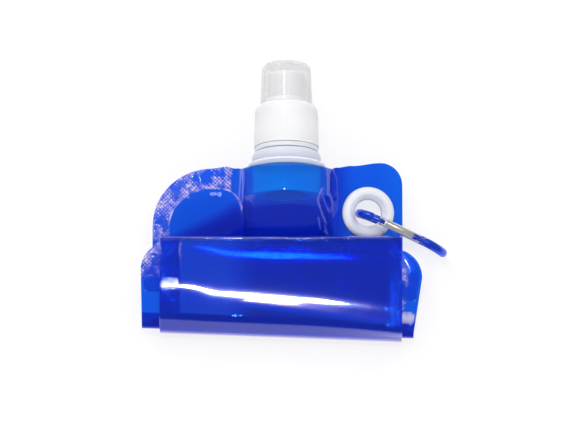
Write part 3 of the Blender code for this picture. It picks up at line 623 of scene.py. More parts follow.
def upper_weld(x, y):
    """How far a place on the upper pouch is welded, 0 or 1 with a soft edge."""
    if abs(x - SPOUT_X) < TUBE_HALF:
        return 0.0
    if x > SPOUT_X:
        return ease((x - SPOUT_X - TUBE_HALF) / 0.0050)
    return min(ease((SPOUT_X - x - TUBE_HALF) / 0.0015), ease((pocket_reach(x, y) - 0.95) / 0.09))


def painted_pouch_shade(x, y):
    """A mask of painted shade on the upper pouch, below a slanting line and left of the tab, where the table
    under the lifted pouch lies in shade.
    """
    below = ease(((0.0377 - y) + 0.455 * (x + 0.0209)) / 0.009 + 0.35)
    return below * (1.0 - ease((x - 0.0222) / 0.0014))


# Small wrinkles beside the spout: a line of points and a strength, which sets both a low ridge and a painted
# highlight along it.
WRINKLES = (
    (((0.0191, 0.0426), (0.0172, 0.0373), (0.0186, 0.0340), (0.0209, 0.0289)), 0.55),
    (((0.0186, 0.0411), (0.0223, 0.0336)), 0.45),
    (((0.0177, 0.0306), (0.0186, 0.0262)), 0.50),
    (((0.0205, 0.0275), (0.0220, 0.0240), (0.0205, 0.0255)), 0.50),
)


def wrinkle(x, y):
    """How near a place is to one of the small wrinkles beside the spout, 1 on its line."""
    best = 0.0
    here = Vector((x, y, 0.0))
    for line, strength in WRINKLES:
        for (x0, y0), (x1, y1) in zip(line, line[1:]):
            start = Vector((x0, y0, 0.0))
            along = Vector((x1, y1, 0.0)) - start
            share = clamp((here - start).dot(along) / along.length_squared)
            away = (here - start - along * share).length
            best = max(best, strength * bell(away / 0.00050))
    return best


def upper_painted_shade(x, y):
    """How deep the back film's colour is on the upper pouch, about 0.5: painted shade where the pouch is
    lifted and on the tab beside the spout, fading lighter towards the tab's right edge.
    """
    depth = 0.53 + 0.47 * painted_pouch_shade(x, y)
    beside = x - SPOUT_X - TUBE_HALF
    if beside > 0.0:
        depth += 0.36 * (1.0 - ease(beside / 0.0125)) - 0.06 * ease((x - 0.0440) / 0.0100)
    return depth


def pocket_highlight_line(x, y):
    """A painted highlight along the pocket's weld, uneven along its length."""
    if x > SPOUT_X - TUBE_HALF or y < 0.012:
        return 0.0
    near = bell((pocket_reach(x, y) - 1.03) / 0.055)
    tip = ease((x + 0.0300) / 0.0090)
    patchy = 0.5 + 0.9 * speckle(x * 300.0, y * 300.0, 5.0)
    return near * clamp(patchy + 0.35 * tip, 0.15)


def crumple(x, y):
    """Small wrinkles in the loose film round the spout."""
    near = ease((y - 0.018) / 0.012) * (1.0 - upper_weld(x, y))
    fine = speckle(x * 260.0, y * 70.0, 3.0)
    broad = speckle(x * 90.0, y * 40.0, 9.0)
    side = ease((abs(x - SPOUT_X) - 0.010) / 0.006)
    return (fine * 0.00028 * side + broad * 0.00035) * near


def top_of_pouch(x):
    """Y of the pouch's top outline above x."""
    arc_x = SHOULDER_LEFT + SHOULDER_RADIUS
    if x < arc_x:
        return SHOULDER_ARC_Y + math.sqrt(max(SHOULDER_RADIUS ** 2 - (x - arc_x) ** 2, 0.0))
    left_root = SPOUT_X - TUBE_HALF
    right_root = SPOUT_X + TUBE_HALF
    corner_x = TAB_RIGHT - TAB_CORNER
    corner_y = TAB_TOP_Y - TAB_CORNER
    if x > corner_x:
        return corner_y + math.sqrt(max(TAB_CORNER ** 2 - (x - corner_x) ** 2, 0.0))
    points = (
        (arc_x, SHOULDER_ARC_Y + SHOULDER_RADIUS), (left_root - 0.0085, NECK_EDGE_Y + 0.0024),
        (left_root - 0.0030, NECK_EDGE_Y + 0.0008), (left_root, NECK_EDGE_Y), (right_root, NECK_EDGE_Y),
        (right_root + 0.0035, NECK_EDGE_Y + 0.0013), (right_root + 0.0100, NECK_EDGE_Y + 0.0025),
        (corner_x, TAB_TOP_Y),
    )
    for (x0, y0), (x1, y1) in zip(points, points[1:]):
        if x <= x1:
            return blend(y0, y1, ease((x - x0) / (x1 - x0)))
    return TAB_TOP_Y


def upper_edges(y):
    """Left and right edges of the upper pouch at y."""
    share = ease((y + 0.002) / 0.020)
    return blend(WAIST_LEFT, SHOULDER_LEFT, share), blend(WAIST_RIGHT, TAB_RIGHT, share)


def surface_normal(height, x, y):
    step = 0.0008
    reach = x - SPOUT_X
    low = x if reach > TUBE_HALF - step else x - step
    high = x if reach < step - TUBE_HALF else x + step
    dx = (height(high, y) - height(low, y)) / (high - low)
    dy = (height(x, y + step) - height(x, y - step)) / (2 * step)
    return Vector((-dx, -dy, 1.0)).normalized()


def upper_point(x, y, side):
    weld = upper_weld(x, y)

    def height(u, v):
        bulge = tube_half_height(u, v) + pocket_share(u, v) * POCKET_BULGE
        return middle_height(u, v) + side * bulge

    offset = blend(FILM_OFFSET, WELD_OFFSET, weld)
    normal = surface_normal(height, x, y)
    point = Vector((x, y, height(x, y))) + normal * (offset * side)
    ripple = crumple(x, y)
    if side < 0:
        ripple = min(ripple, 0.0)
    return point + normal * ripple, weld


def film_grid(name, columns, rows, place):
    """A grid moved onto the film. place gives (point, pattern x, pattern y, weld, depth); weld below 0 and
    above 1 carries painted highlights and haze, and depth carries painted shade.
    """
    item = new_shape(name, bpy.ops.mesh.primitive_grid_add, size=1.0,
                     x_subdivisions=columns, y_subdivisions=rows)
    mesh = item.data
    weld = mesh.attributes.new("weld", "FLOAT", "POINT")
    depth = mesh.attributes.new("depth", "FLOAT", "POINT")
    pattern = mesh.uv_layers[0]
    pattern.name = "pattern"
    flat = {}
    for vertex in mesh.vertices:
        point, across, along, share, deep = place(vertex.co.x + 0.5, vertex.co.y + 0.5)
        flat[vertex.index] = (across, along)
        weld.data[vertex.index].value = share
        depth.data[vertex.index].value = deep
        vertex.co = point
    for loop in mesh.loops:
        across, along = flat[loop.vertex_index]
        pattern.data[loop.index].uv = (across * PATTERN_SCALE, along * PATTERN_SCALE)
    mesh.update()
    return item


def finish_film(item, thickness=FILM):
    thick = item.modifiers.new("film_thickness", "SOLIDIFY")
    thick.thickness = thickness
    thick.offset = 0.0
    thick.use_even_offset = False
    finish_modifiers(item)
    only(item)
    bpy.ops.object.shade_smooth()
    paint(item, BLUE_FILM)
    return item


def skew(x, weight):
    return -CREASE_SKEW * x * weight


UPPER_FROM = 0.0040


def make_upper_film(name, side):
    columns, rows = ((240, 140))

    def place(u, v):
        nominal = shoulder_column(u)
        top = top_of_pouch(nominal)
        y = blend(UPPER_FROM, top, v)
        left, right = upper_edges(y)
        if nominal < SPOUT_X:
            x = SPOUT_X + (nominal - SPOUT_X) * (SPOUT_X - left) / (SPOUT_X - SHOULDER_LEFT)
        else:
            x = SPOUT_X + (nominal - SPOUT_X) * (right - SPOUT_X) / (TAB_RIGHT - SPOUT_X)
        point, weld = upper_point(x, y, side)
        fade = 1.0 - ease((y - CREASE_Y) / (LIE_FLAT_Y - CREASE_Y))
        point.y += skew(x, fade)
        knurl_and_highlight = 0.0
        if x < SPOUT_X:
            line = pocket_highlight_line(x, y) if side > 0 else 0.0
            knurl_and_highlight = weld * (1.0 - ease((x + 0.0235) / 0.0030))
            # A painted highlight line along the pocket's weld, given as knurl above 1.
            knurl_and_highlight += (2.3 - knurl_and_highlight) * line
        if side < 0:
            return point, x, y, knurl_and_highlight, upper_painted_shade(x, y)
        crease = wrinkle(x, y)
        point.z += 0.00025 * crease
        on_tube = ease((TUBE_HALF - abs(x - SPOUT_X)) / 0.001)
        on_base = on_tube * ease((y - 0.0395) / 0.001)
        on_end = on_tube * ease((y - 0.0345) / 0.001)
        beside = abs(x - SPOUT_X)
        on_side = on_tube * ease((beside - 0.0150) / 0.0008)
        # Painted light and shade on the front film: some of the painted pouch shade, lighter over the
        # spout's end and top, darker on the tube's sloping sides and in thin dark lines along its edges; it
        # is also a little darker in the pocket.
        depth = 0.5 + 0.12 * painted_pouch_shade(x, y) * (1.0 - on_end) - 0.04 * on_end - 0.06 * on_base
        depth += 0.13 * on_side + 0.05 * pocket_share(x, y)
        depth += 0.25 * bell((beside - (0.0191 if x < SPOUT_X else 0.0205)) / 0.0005)
        # Painted highlights along the wrinkles, and a painted milky haze over the spout's end face that
        # lightens its dark bore, both given as knurl below 0.
        if crease > 0.05:
            knurl_and_highlight = -crease
        else:
            knurl_and_highlight -= 0.20 * max(on_end - on_base, 0.0) * (1.0 - on_side)
        return point, x, y, knurl_and_highlight, depth

    item = film_grid(name, columns, rows, place)
    cut_eyelet_hole(item)
    return finish_film(item)


def shoulder_column(u):
    """Columns packed closer towards the two side edges, where the outline turns."""
    t = 0.5 - 0.5 * math.cos(math.pi * u)
    return blend(SHOULDER_LEFT, TAB_RIGHT, t * 0.55 + u * 0.45)


def cut_eyelet_hole(item):
    """Takes out the faces that the eyelet's barrel goes through. Its rings hide the rough edge."""
    reach = EYELET_HOLE + 0.0022
    open_mesh(item, "DESELECT")
    bpy.ops.mesh.select_mode(type="FACE")
    close_mesh()
    for face in item.data.polygons:
        face.select = math.hypot(face.center.x - EYELET_X, face.center.y - EYELET_Y) < reach
    bpy.ops.object.mode_set(mode="EDIT")
    bpy.ops.mesh.delete(type="FACE")
    bpy.ops.mesh.select_mode(type="VERT")
    close_mesh()


# Shape of the roll

def line_piece(start, end):
    start, end = Vector(start), Vector(end)
    left = left_of((end - start).normalized())
    return (end - start).length, lambda share: (start.lerp(end, share), left)


def bend_piece(centre, radius, start, end):
    centre = Vector(centre)

    def at(share):
        t = math.radians(blend(start, end, share))
        out = Vector((math.cos(t), math.sin(t)))
        return centre + out * radius, out

    return math.radians(abs(end - start)) * radius, at


def curve_piece(start, corner, end, steps=24):
    """A rounded corner between two straight pieces, as an even walk along a quadratic curve."""
    start, corner, end = Vector(start), Vector(corner), Vector(end)
    points = [on_curve(start, corner, end, i / steps) for i in range(steps + 1)]
    reach = [0.0]
    for before, after in zip(points, points[1:]):
        reach.append(reach[-1] + (after - before).length)

    def at(share):
        goal = share * reach[-1]
        i = min(next(k for k in range(1, steps + 1) if reach[k] >= goal - 1e-12), steps)
        t = (i - 1 + (goal - reach[i - 1]) / (reach[i] - reach[i - 1])) / steps
        along = ((corner - start) * (1 - t) + (end - corner) * t).normalized()
        return on_curve(start, corner, end, t), left_of(along)

    return reach[-1], at


def walk(pieces, distance):
    """The point and outward side at a distance along joined pieces, and the piece's number."""
    for i, (length, at) in enumerate(pieces):
        if distance <= length or i == len(pieces) - 1:
            point, out = at(clamp(distance / length))
            return point, out, i
        distance -= length


# The roll's cross-section as (y, z), from under the pouch round the foot and up the front panel, and then
# round the top crease, back down the inner layer and up the base end.
BEND_FROM = (FOOT_FRONT_Y + 0.0042, FLAT_Z)
BEND_TO = (FOOT_FRONT_Y + 0.0006, FOOT_FRONT_Z + 0.0012)
CORNER_FROM = (FOOT_CORNER_Y - 0.0007, FOOT_CORNER_Z - 0.0013)
PANEL_FROM = (PANEL_FROM_Y, PANEL_FROM_Z)
INNER_FOOT_TO = (INNER_FOOT_Y, INNER_FOOT_Z + INNER_FOOT_RADIUS)
FOLD_PATH = [
    line_piece((UPPER_FROM, FLAT_Z), BEND_FROM),
    curve_piece(BEND_FROM, (FOOT_FRONT_Y - 0.0012, FLAT_Z + 0.0012), BEND_TO),
    line_piece(BEND_TO, CORNER_FROM),
    curve_piece(CORNER_FROM, (FOOT_CORNER_Y, FOOT_CORNER_Z), PANEL_FROM),
    line_piece(PANEL_FROM, (ROLL_TOP_Y, ROLL_TOP_Z + ROLL_TOP_RADIUS)),
]
PANEL_PART = len(FOLD_PATH) - 1
WRAP_PATH = [
    bend_piece((ROLL_TOP_Y, ROLL_TOP_Z), ROLL_TOP_RADIUS, 90.0, -90.0),
    line_piece((ROLL_TOP_Y, ROLL_TOP_Z - ROLL_TOP_RADIUS),
               (INNER_FOOT_Y, INNER_FOOT_Z - INNER_FOOT_RADIUS)),
    bend_piece((INNER_FOOT_Y, INNER_FOOT_Z), INNER_FOOT_RADIUS, -90.0, -270.0),
    line_piece(INNER_FOOT_TO, (BASE_END_Y, BASE_END_Z)),
]


def path_length(pieces):
    return sum(length for length, _ in pieces)


def base_width(y):
    half = BASE_HALF - 0.09 * max(0.005 - y, 0.0)
    centre = BASE_MIDDLE + 0.068 * y
    from_end = y - (BASE_END_Y - BASE_CORNER)
    if from_end > 0.0:
        half -= BASE_CORNER - math.sqrt(max(BASE_CORNER ** 2 - from_end ** 2, 0.0))
    return centre - half, centre + half


def roll_width(y):
    left, right = base_width(y)
    share = ease((HIP_FROM_Y - y) / (HIP_FROM_Y - INNER_FOOT_Y))
    return blend(WAIST_LEFT, left, share), blend(WAIST_RIGHT, right, share)


def top_fade(y):
    return ease((ROLL_TOP_Y - y) / (ROLL_TOP_Y - CREASE_Y))


def closing(x, left, right):
    """How far the two films have closed on each other towards their welded sides."""
    at_left = ease((left + LEFT_SEAM + 0.0006 - x) / 0.0015)
    at_right = ease((x - right + RIGHT_SEAM + 0.0008) / 0.0015)
    return max(at_left, at_right)


def seam_offset(x, left, right, side):
    """The outer film keeps its place to its edges, and the inner one closes on it there."""
    if side > 0:
        return FILM_OFFSET
    return -FILM_OFFSET + 2 * (FILM_OFFSET - FILM / 2 - 0.00002) * closing(x, left, right)


def roll_weld(x, left, right, left_wide=LEFT_SEAM, right_wide=RIGHT_SEAM):
    return max(ease((left + left_wide - x) / 0.0008 + 0.5), ease((x - right + right_wide) / 0.0008 + 0.5))


def ridge_line(x):
    """Y of the low ridge that runs along the front panel."""
    return RIDGE_Y - RIDGE_SLOPE * (x - RIDGE_X) + RIDGE_LIFT * ease((-0.0290 - x) / 0.0130)


def log_cosh(value):
    return abs(value) + math.log1p(math.exp(-2.0 * abs(value))) - math.log(2.0)


def panel_crown(x, y):
    """The front panel's low roof shape: two nearly flat slopes that meet in a soft ridge."""
    spread = 0.0053 - 0.060 * x
    top, low, here = ((at - ridge_line(x)) / spread for at in (ROLL_TOP_Y, PANEL_FROM_Y, y))
    path_slope = (ROLL_TOP_Z + ROLL_TOP_RADIUS - PANEL_FROM_Z) / (ROLL_TOP_Y - PANEL_FROM_Y)
    lean = (MIDDLE_SLOPE - path_slope) * spread
    turn = lean * (top - low) / (log_cosh(top) - log_cosh(low))
    return lean * (here - top) - turn * (log_cosh(here) - log_cosh(top))


def low_reflection_band(x, y):
    """A painted reflection: the lighter slanting band below the front panel's ridge."""
    away = (y + 0.0105 + 0.083 * (x + 0.0256)) / 0.0021
    return bell(away) * ease((x + 0.0360) / 0.0090)


def panel_painted_shading(x, y):
    """The front panel's painted light and shade: a lighter lens and slanting band as painted reflections,
    darker bands at its foot and top as painted shade, a painted lighter left part, and soft lighter patches
    and a darker part right of a slanting border.
    """
    border = 3.0 * clamp(y - 0.0025, -0.0040, 0.0060) - 0.0055
    depth = 0.5 + 0.13 * ease((x - border) / 0.0050)
    along = (y + 0.0005) / 0.0048
    for middle in (0.0107, 0.0284):
        depth -= 0.16 * bell((x - middle) / 0.0042 + along * 0.5) * bell(along)
    depth -= 0.26 * low_reflection_band(x, y)
    depth += 0.42 * ease((FOOT_BAND_Y - RIDGE_SLOPE * x - y) / 0.0024)
    depth += 0.18 * ease((y - TOP_BAND_Y) / 0.0022)
    depth -= 0.07 * ease((PALE_FROM_X - x) / 0.0200)
    lens = ease((y - LENS_FROM_Y) / 0.0008) * ease((LENS_TO_Y - y) / 0.0008)
    depth -= 0.13 * lens * ease((x + 0.0400) / 0.0160) * ease((0.0370 - x) / 0.0100)
    return depth


def foot_shift(x, y, z, part):
    """The foot bend's top corner stands further out towards the right."""
    reach = (x / 0.056) ** 2 * (-0.0021 if x > 0.0 else 0.0006)
    if part == PANEL_PART:
        return reach * (1.0 - ease((y - PANEL_FROM_Y) / 0.0100))
    return reach * ease((z - FOOT_FRONT_Z) / (PANEL_FROM_Z - FOOT_FRONT_Z))


def make_fold_film(name, side):
    """The flat strip under the roll, the loose bend at its foot and the front panel."""
    columns, rows = ((150, 190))
    total = path_length(FOLD_PATH)

    def place(u, v):
        point, out, part = walk(FOLD_PATH, total * v)
        left, right = WAIST_LEFT, WAIST_RIGHT
        share = 1.0
        crown = 0.0
        if part == 0:
            left, right = upper_edges(point.x)
            share = 1.0 - ease((point.x - CREASE_Y) / (LIE_FLAT_Y - CREASE_Y))
        x = blend(left, right, u)
        depth = 0.60 if 0 < part < PANEL_PART else 0.5
        if part == PANEL_PART:
            share = top_fade(point.x)
            crown = panel_crown(x, point.x)
            if side < 0:
                depth = panel_painted_shading(x, point.x)
        weld = roll_weld(x, left, right)
        at = point + out * seam_offset(x, left, right, side)
        y = at.x + skew(x, share) + foot_shift(x, point.x, at.y, part)
        knurl_and_highlight = weld * 0.03
        if part == PANEL_PART:
            glints = 0.10 * bell((point.x + 0.0028) / 0.0030) if x < 0.0 else 0.0
            # Painted sheen: a haze along the painted reflection band and over the panel's lighter left part,
            # given as knurl below 0.
            haze_amount = max(0.6 * low_reflection_band(x, point.x), ease((PALE_FROM_X - x) / 0.0200)) * (1.0 - weld)
            knurl_and_highlight = weld * ((0.01 if side > 0 else 0.25) + glints) - 0.22 * haze_amount
        return Vector((x, y, at.y + crown)), x, UPPER_FROM - total * v, knurl_and_highlight, depth

    return finish_film(film_grid(name, columns, rows, place))


def base_arch(x, y):
    """The base end's low arch: steep near its crease, nearly level towards its free edge."""
    straight = (BASE_END_Z - INNER_FOOT_Z - INNER_FOOT_RADIUS) / (BASE_END_Y - INNER_FOOT_Y)
    y = max(y - 0.0040 * ease((-0.0205 - x) / 0.021), INNER_FOOT_Y)
    height = (ARCH_STEEP - straight) * (min(y, 0.0) - INNER_FOOT_Y)
    if y > 0.0:
        run = min(y, ARCH_TURN_Y)
        bend = (ARCH_STEEP - ARCH_LEVEL) / ARCH_TURN_Y
        height += (ARCH_STEEP - straight) * run - bend * run * run / 2.0
    if y > ARCH_TURN_Y:
        run = y - ARCH_TURN_Y
        height += (ARCH_LEVEL - straight) * run - ARCH_FALL * run * run / 2.0
    return height


def make_wrap_film(name, side):
    """The roll's top crease, inner layer, inner foot crease and base end."""
    columns, rows = ((110, 110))
    total = path_length(WRAP_PATH)

    def place(u, v):
        distance = corner_rows(v) * total
        point, out, part = walk(WRAP_PATH, distance)
        gap = FILM_OFFSET
        share = 1.0
        if part == 0:
            left, right = WAIST_LEFT, WAIST_RIGHT
            share = 0.0
        elif part == 1:
            left, right = roll_width(point.x)
            share = top_fade(point.x)
        elif part == 2:
            left, right = base_width(INNER_FOOT_Y)
            turn = (distance - path_length(WRAP_PATH[:2])) / WRAP_PATH[2][0]
            gap = FILM_OFFSET * (1.0 + 2.0 * turn)
        else:
            left, right = base_width(point.x)
            gap = FILM_OFFSET * 3.0
        x = blend(left, right, u)
        weld = base_weld(x, left, right, point.x, part)
        if part == 3:
            closed = 1.0 - ease(min(x - left, right - x) / 0.004)
            gap = blend(gap, FILM_OFFSET * 2.2, closed)
        at = point + out * (seam_offset(x, left, right, side) if part < 2 else side * gap)
        arch = base_arch(x, point.x) if part == 3 else 0.0
        depth = 0.5
        # Painted shade: darker round the inner foot crease.
        if part > 1:
            depth += 0.30 * (1.0 - ease((point.x + 0.0163) / 0.0008))
        # The top crease's turn: painted shade over it and a ragged painted highlight line along it, given as
        # weld below 0.
        if part == 0 and side > 0:
            depth = 0.80
            turn = distance / WRAP_PATH[0][0]
            crease_highlight = 0.60 + 0.5 * speckle(x * 60.0, 2.0, 8.0)
            weld = -crease_highlight * ease((turn - 0.16) / 0.05) * ease((0.38 - turn) / 0.05)
        return Vector((x, at.x + skew(x, share), at.y + arch)), x, -0.06 - distance, weld, depth

    return finish_film(film_grid(name, columns, rows, place))


def corner_rows(v):
    """Rows packed closer towards the base end, where its corners turn."""
    return 1.0 - (1.0 - v) ** 1.35 if v > 0.0 else 0.0


def base_weld(x, left, right, y, part):
    if part < 2:
        return roll_weld(x, left, right) * 0.25
    end = ease((y - BASE_END_Y + 0.0025) / 0.001)
    if x < 0.0:
        strong = 0.10 + 0.90 * ease((y + 0.0020) / 0.0045)
        return max(end, roll_weld(x, left, right, BASE_LEFT_SEAM) * strong)
    inner = ease((right - 0.0050 - x) / 0.0020) * ease((y + 0.0130) / 0.0040)
    # A painted glare highlight on the right flap's lower part, returned as weld below 0.
    glare = bell((y + 0.0140) / 0.0032) * ease((right - 0.0006 - x) / 0.0008)
    sides = roll_weld(x, left, right, BASE_LEFT_SEAM, BASE_RIGHT_SEAM) * (0.12 + 0.80 * inner)
    ragged = 0.40 + 0.25 * speckle(x * 1200.0, y * 150.0, 6.0)
    if glare > ragged and x > right - 0.0085:
        return -1.15 * glare - 0.4 * speckle(x * 900.0, y * 250.0, 4.0)
    return max(end, sides)


def make_gusset_film():
    """The folded film between the base end's two films."""
    start, end = Vector(INNER_FOOT_TO), Vector((BASE_END_Y, BASE_END_Z))
    out = left_of((end - start).normalized())

    def place(u, v):
        side = -1.0 if v < 0.5 else 1.0
        t = abs(v - 0.5) * 2.0
        y = blend(GUSSET_FOLD_Y, BASE_END_Y, math.sin(t * math.pi / 2))
        middle = start.lerp(end, (y - start.x) / (end.x - start.x))
        at = middle + out * (side * FILM_OFFSET * ease(t * 6.0))
        left, right = base_width(y)
        x = blend(left + GUSSET_INSET, right - GUSSET_INSET, u)
        weld = base_weld(x, left, right, y, 3)
        return Vector((x, at.x + skew(x, 1.0), at.y + base_arch(x, y))), x, -0.2 - y * side, weld, 0.0

    return finish_film(film_grid("base_gusset_film", 90, 80, place), FILM * 0.8)


def make_pouch():
    for face, side in FACES:
        film = make_upper_film(f"pouch_{face}_upper_film", side)
        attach(film, "pouch")
        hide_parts(f"{face}_film_upper")
    for face, side in FACES:
        film = make_fold_film(f"pouch_{face}_fold_film", -side)
        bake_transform(film)
        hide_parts(f"{face}_film_crease")
    for face, side in FACES:
        film = make_wrap_film(f"pouch_{face}_wrap_film", -side)
        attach(film, "roll")
        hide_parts(f"{face}_film_roll")
    gusset = make_gusset_film()
    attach(gusset, "roll")
    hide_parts("base_gusset")


# Spout and cap. Profiles are in millimetres: distance from the axis, then height above the pouch's edge.

NECK_PROFILE = [
    (9.4, 10.0), (9.4, -12.85), (10.0, -12.85), (10.0, 0.4), (17.75, 0.4), (18.0, 0.62), (18.0, 1.08),
    (17.75, 1.3), (11.8, 1.3), (11.8, 7.5), (14.7, 7.5), (14.7, 9.6), (11.8, 9.7), (11.8, 26.0),
    (9.4, 26.0), (9.4, 10.0),
]
BAND_PROFILE = [
    (12.1, 4.0), (12.1, 1.6), (14.2, 1.6), (15.3, 2.3), (15.85, 3.3), (16.0, 4.45), (15.85, 5.6),
    (15.3, 6.6), (14.2, 7.3), (12.1, 7.3), (12.1, 4.0),
]
TOWER_PROFILE = [
    (0.6, 45.0), (2.5, 45.0), (2.5, 29.9), (6.7, 29.9), (6.7, 41.7), (8.0, 41.7), (8.0, 32.5),
    (10.7, 32.5), (10.7, 29.9), (12.1, 29.9),
]
SKIRT_PROFILE = [(14.65, 25.9), (14.75, 24.7), (14.90, 18.0), (15.05, 11.1)]
SKIRT_FOOT_PROFILE = [(15.10, 10.8), (15.1, 9.8), (13.7, 9.8), (13.2, 27.7), (0.6, 27.7)]
NOZZLE_PROFILE = [
    (8.3, 37.0), (8.3, 32.8), (9.25, 32.8),
    (9.25, 44.0), (8.9, 44.9), (8.0, 45.3), (2.8, 45.3), (2.8, 43.9), (8.3, 43.9), (8.3, 37.0),
]
SEAL_PROFILE = [(9.4, 26.8), (9.4, 26.3), (12.9, 26.3), (12.9, 27.4), (9.4, 27.4), (9.4, 26.8)]
COVER_PROFILE = [
    (11.9, 30.2), (12.1, 30.4), (12.1, 31.0), (12.05, 31.4), (11.98, 32.6), (11.8, 38.0), (11.6, 43.0),
    *arc(8.5, 47.0, 3.0, 3.0, range(0, 91, 10)),
    (7.0, 50.0), (4.0, 50.0), (0.5, 50.0), (0.5, 49.0), (4.0, 49.0), (7.0, 49.0),
    *arc(8.5, 47.0, 2.0, 2.0, range(90, -1, -10)),
    (10.8, 38.0), (11.1, 32.0), (11.1, 30.4), (11.3, 30.2), (11.6, 30.2), (11.9, 30.2),
]


def helix_ridge(name, radius, depth, start, turns, inward=False):
    """A thread ridge: a small square turned up a helix."""
    item = new_shape(name, bpy.ops.mesh.primitive_plane_add, size=1.0)
    sign = -1.0 if inward else 1.0
    foot = THREAD_PITCH * 0.20
    tip = THREAD_PITCH * 0.10
    for vertex in item.data.vertices:
        outer = vertex.co.x > 0
        up = 1.0 if vertex.co.y > 0 else -1.0
        r = radius + sign * depth if outer else radius - sign * THREAD_ROOT
        vertex.co = (r, 0.0, start + up * (tip if outer else foot))
    open_mesh(item)
    bpy.ops.mesh.delete(type="ONLY_FACE")
    close_mesh()
    screw = item.modifiers.new("helix", "SCREW")
    screw.axis = "Z"
    screw.angle = 2 * math.pi * turns
    screw.screw_offset = THREAD_PITCH * turns
    screw.steps = int(64 * turns)
    screw.render_steps = int(64 * turns)
    screw.use_merge_vertices = True
    screw.merge_threshold = 0.000001
    finish_modifiers(item)
    open_mesh(item, "DESELECT")
    bpy.ops.mesh.select_non_manifold()
    bpy.ops.mesh.edge_face_add()
    close_mesh(face_outwards=True)
    return item


def loft(name, rings):
    """A tube through rings: one circle, extruded ring by ring, each ring then set in its place."""
    item = new_shape(name, bpy.ops.mesh.primitive_circle_add, vertices=len(rings[0]), radius=0.001)
    open_mesh(item)
    bpy.ops.mesh.edge_face_add()
    for _ in rings[1:]:
        bpy.ops.mesh.extrude_region_move(TRANSFORM_OT_translate={"value": (0.0, 0.0, 0.001)})
    close_mesh()
    layers = {}
    for vertex in item.data.vertices:
        layers.setdefault(round(vertex.co.z, 6), []).append(vertex)
    for (_, layer), ring in zip(sorted(layers.items()), rings):
        layer.sort(key=lambda v: math.atan2(v.co.y, v.co.x) % (2 * math.pi))
        for vertex, point in zip(layer, ring):
            vertex.co = point
    item.data.update()
    open_mesh(item)
    close_mesh(face_outwards=True)
    return item


def weld_ring(height, inset=0.0, count=96):
    """The boat-shaped outline of the part that is welded between the films."""
    width = WELD_HALF_WIDTH - inset
    half = WELD_HALF_HEIGHT - inset
    turns = [2 * math.pi * i / count for i in range(count)]
    return [(width * math.cos(t), half * math.sin(t) * abs(math.sin(t)), height) for t in turns]


def make_weld_base():
    rings = [weld_ring(-WELD_LENGTH, 0.0004), weld_ring(-0.0127, 0.0001), weld_ring(-0.0120)]
    for groove in (-0.0098, -0.0068, -0.0038):
        rings += [weld_ring(groove - 0.0006), weld_ring(groove, 0.00008), weld_ring(groove + 0.0006)]
    rings += [weld_ring(-0.0008), weld_ring(0.0006)]
    boat = loft("weld_base", rings)
    rod = new_shape("bore", bpy.ops.mesh.primitive_cylinder_add, vertices=96,
                    radius=BORE + 0.0002, depth=0.04)
    cut_with(boat, rod)
    on_spout(boat, WHITE_PLASTIC, "pouch", "white_plastic")


def rib_skirt(item):
    """Every second edge of the skirt is drawn in a little, which leaves fine upright ribs."""
    open_mesh(item, "DESELECT")
    close_mesh()
    pitch = 2 * math.pi / RIB_COLUMNS
    for vertex in item.data.vertices:
        r = math.hypot(vertex.co.x, vertex.co.y)
        turn = round(math.atan2(vertex.co.y, vertex.co.x) / pitch)
        vertex.select = r > RIBS_OUTSIDE and RIBS_FROM < vertex.co.z < RIBS_TO and turn % 2 == 0
    bpy.ops.object.mode_set(mode="EDIT")
    bpy.ops.transform.resize(value=(1.0 - RIB_DEPTH, 1.0 - RIB_DEPTH, 1.0), center_override=(0.0, 0.0, 0.0))
    close_mesh()


def make_spout_and_cap():
    neck = turned("spout_neck", rounded(NECK_PROFILE, 0.25))
    on_spout(neck, SPOUT_SHADED_PLASTIC, "pouch", "white_plastic", "spout_fitment")
    make_weld_base()
    ridge = helix_ridge("spout_thread", radius=0.0118, depth=0.0012, start=0.0140, turns=1.5)
    on_spout(ridge, WHITE_PLASTIC, "pouch", "white_plastic")
    band = turned("tamper_ring", rounded(BAND_PROFILE, 0.8, steps=4))
    on_spout(band, RING_SHADED_PLASTIC, "pouch", "white_plastic", "tamper_band")
    seal = turned("foam_ring", rounded(SEAL_PROFILE, 0.2), segments=96)
    on_spout(seal, SEAL_FOAM, "cap_liner", "seal_foam", "cap_seal")
    shoulder = arc(12.4, 26.5, 2.2, 3.3, range(90, -1, -10))
    rings = rounded(TOWER_PROFILE, 0.35) + millimetres(shoulder + SKIRT_PROFILE)
    cap = turned("ribbed_cap", rings + rounded(SKIRT_FOOT_PROFILE, 0.15), RIB_COLUMNS, fill_ends=True)
    rib_skirt(cap)
    on_spout(cap, WHITE_PLASTIC, "cap", "white_plastic", "screw_cap")
    ridge = helix_ridge("cap_thread", radius=0.0136, depth=0.0011, start=0.0160, turns=1.25, inward=True)
    on_spout(ridge, WHITE_PLASTIC, "cap", "white_plastic")
    nozzle = turned("pull_nozzle", rounded(NOZZLE_PROFILE, 0.35))
    on_spout(nozzle, NOZZLE_LIT_PLASTIC, "nozzle_slider", "white_plastic", "nozzle")
    cover = turned("milky_cover", millimetres(COVER_PROFILE))
    on_spout(cover, MILKY_PLASTIC, "cover", "clear_plastic", "dust_cover")


# Eyelet

EYELET_FRONT_PROFILE = [
    (6.3, 0.5), (6.3, -2.35), (7.4, -2.35), (7.4, 0.75), (12.1, 0.75), (12.1, 1.5), (11.6, 2.4),
    (10.6, 3.05), (9.4, 3.15), (8.4, 2.95), (7.75, 2.35), (7.35, 2.15), (6.7, 1.75), (6.3, 1.2),
    (6.3, 0.5),
]
EYELET_BACK_PROFILE = [
    (7.7, -1.4), (7.7, -2.1), (8.6, -2.35), (10.4, -2.3), (11.6, -1.8), (12.1, -1.2), (12.1, -0.75),
    (7.7, -0.75), (7.7, -1.4),
]


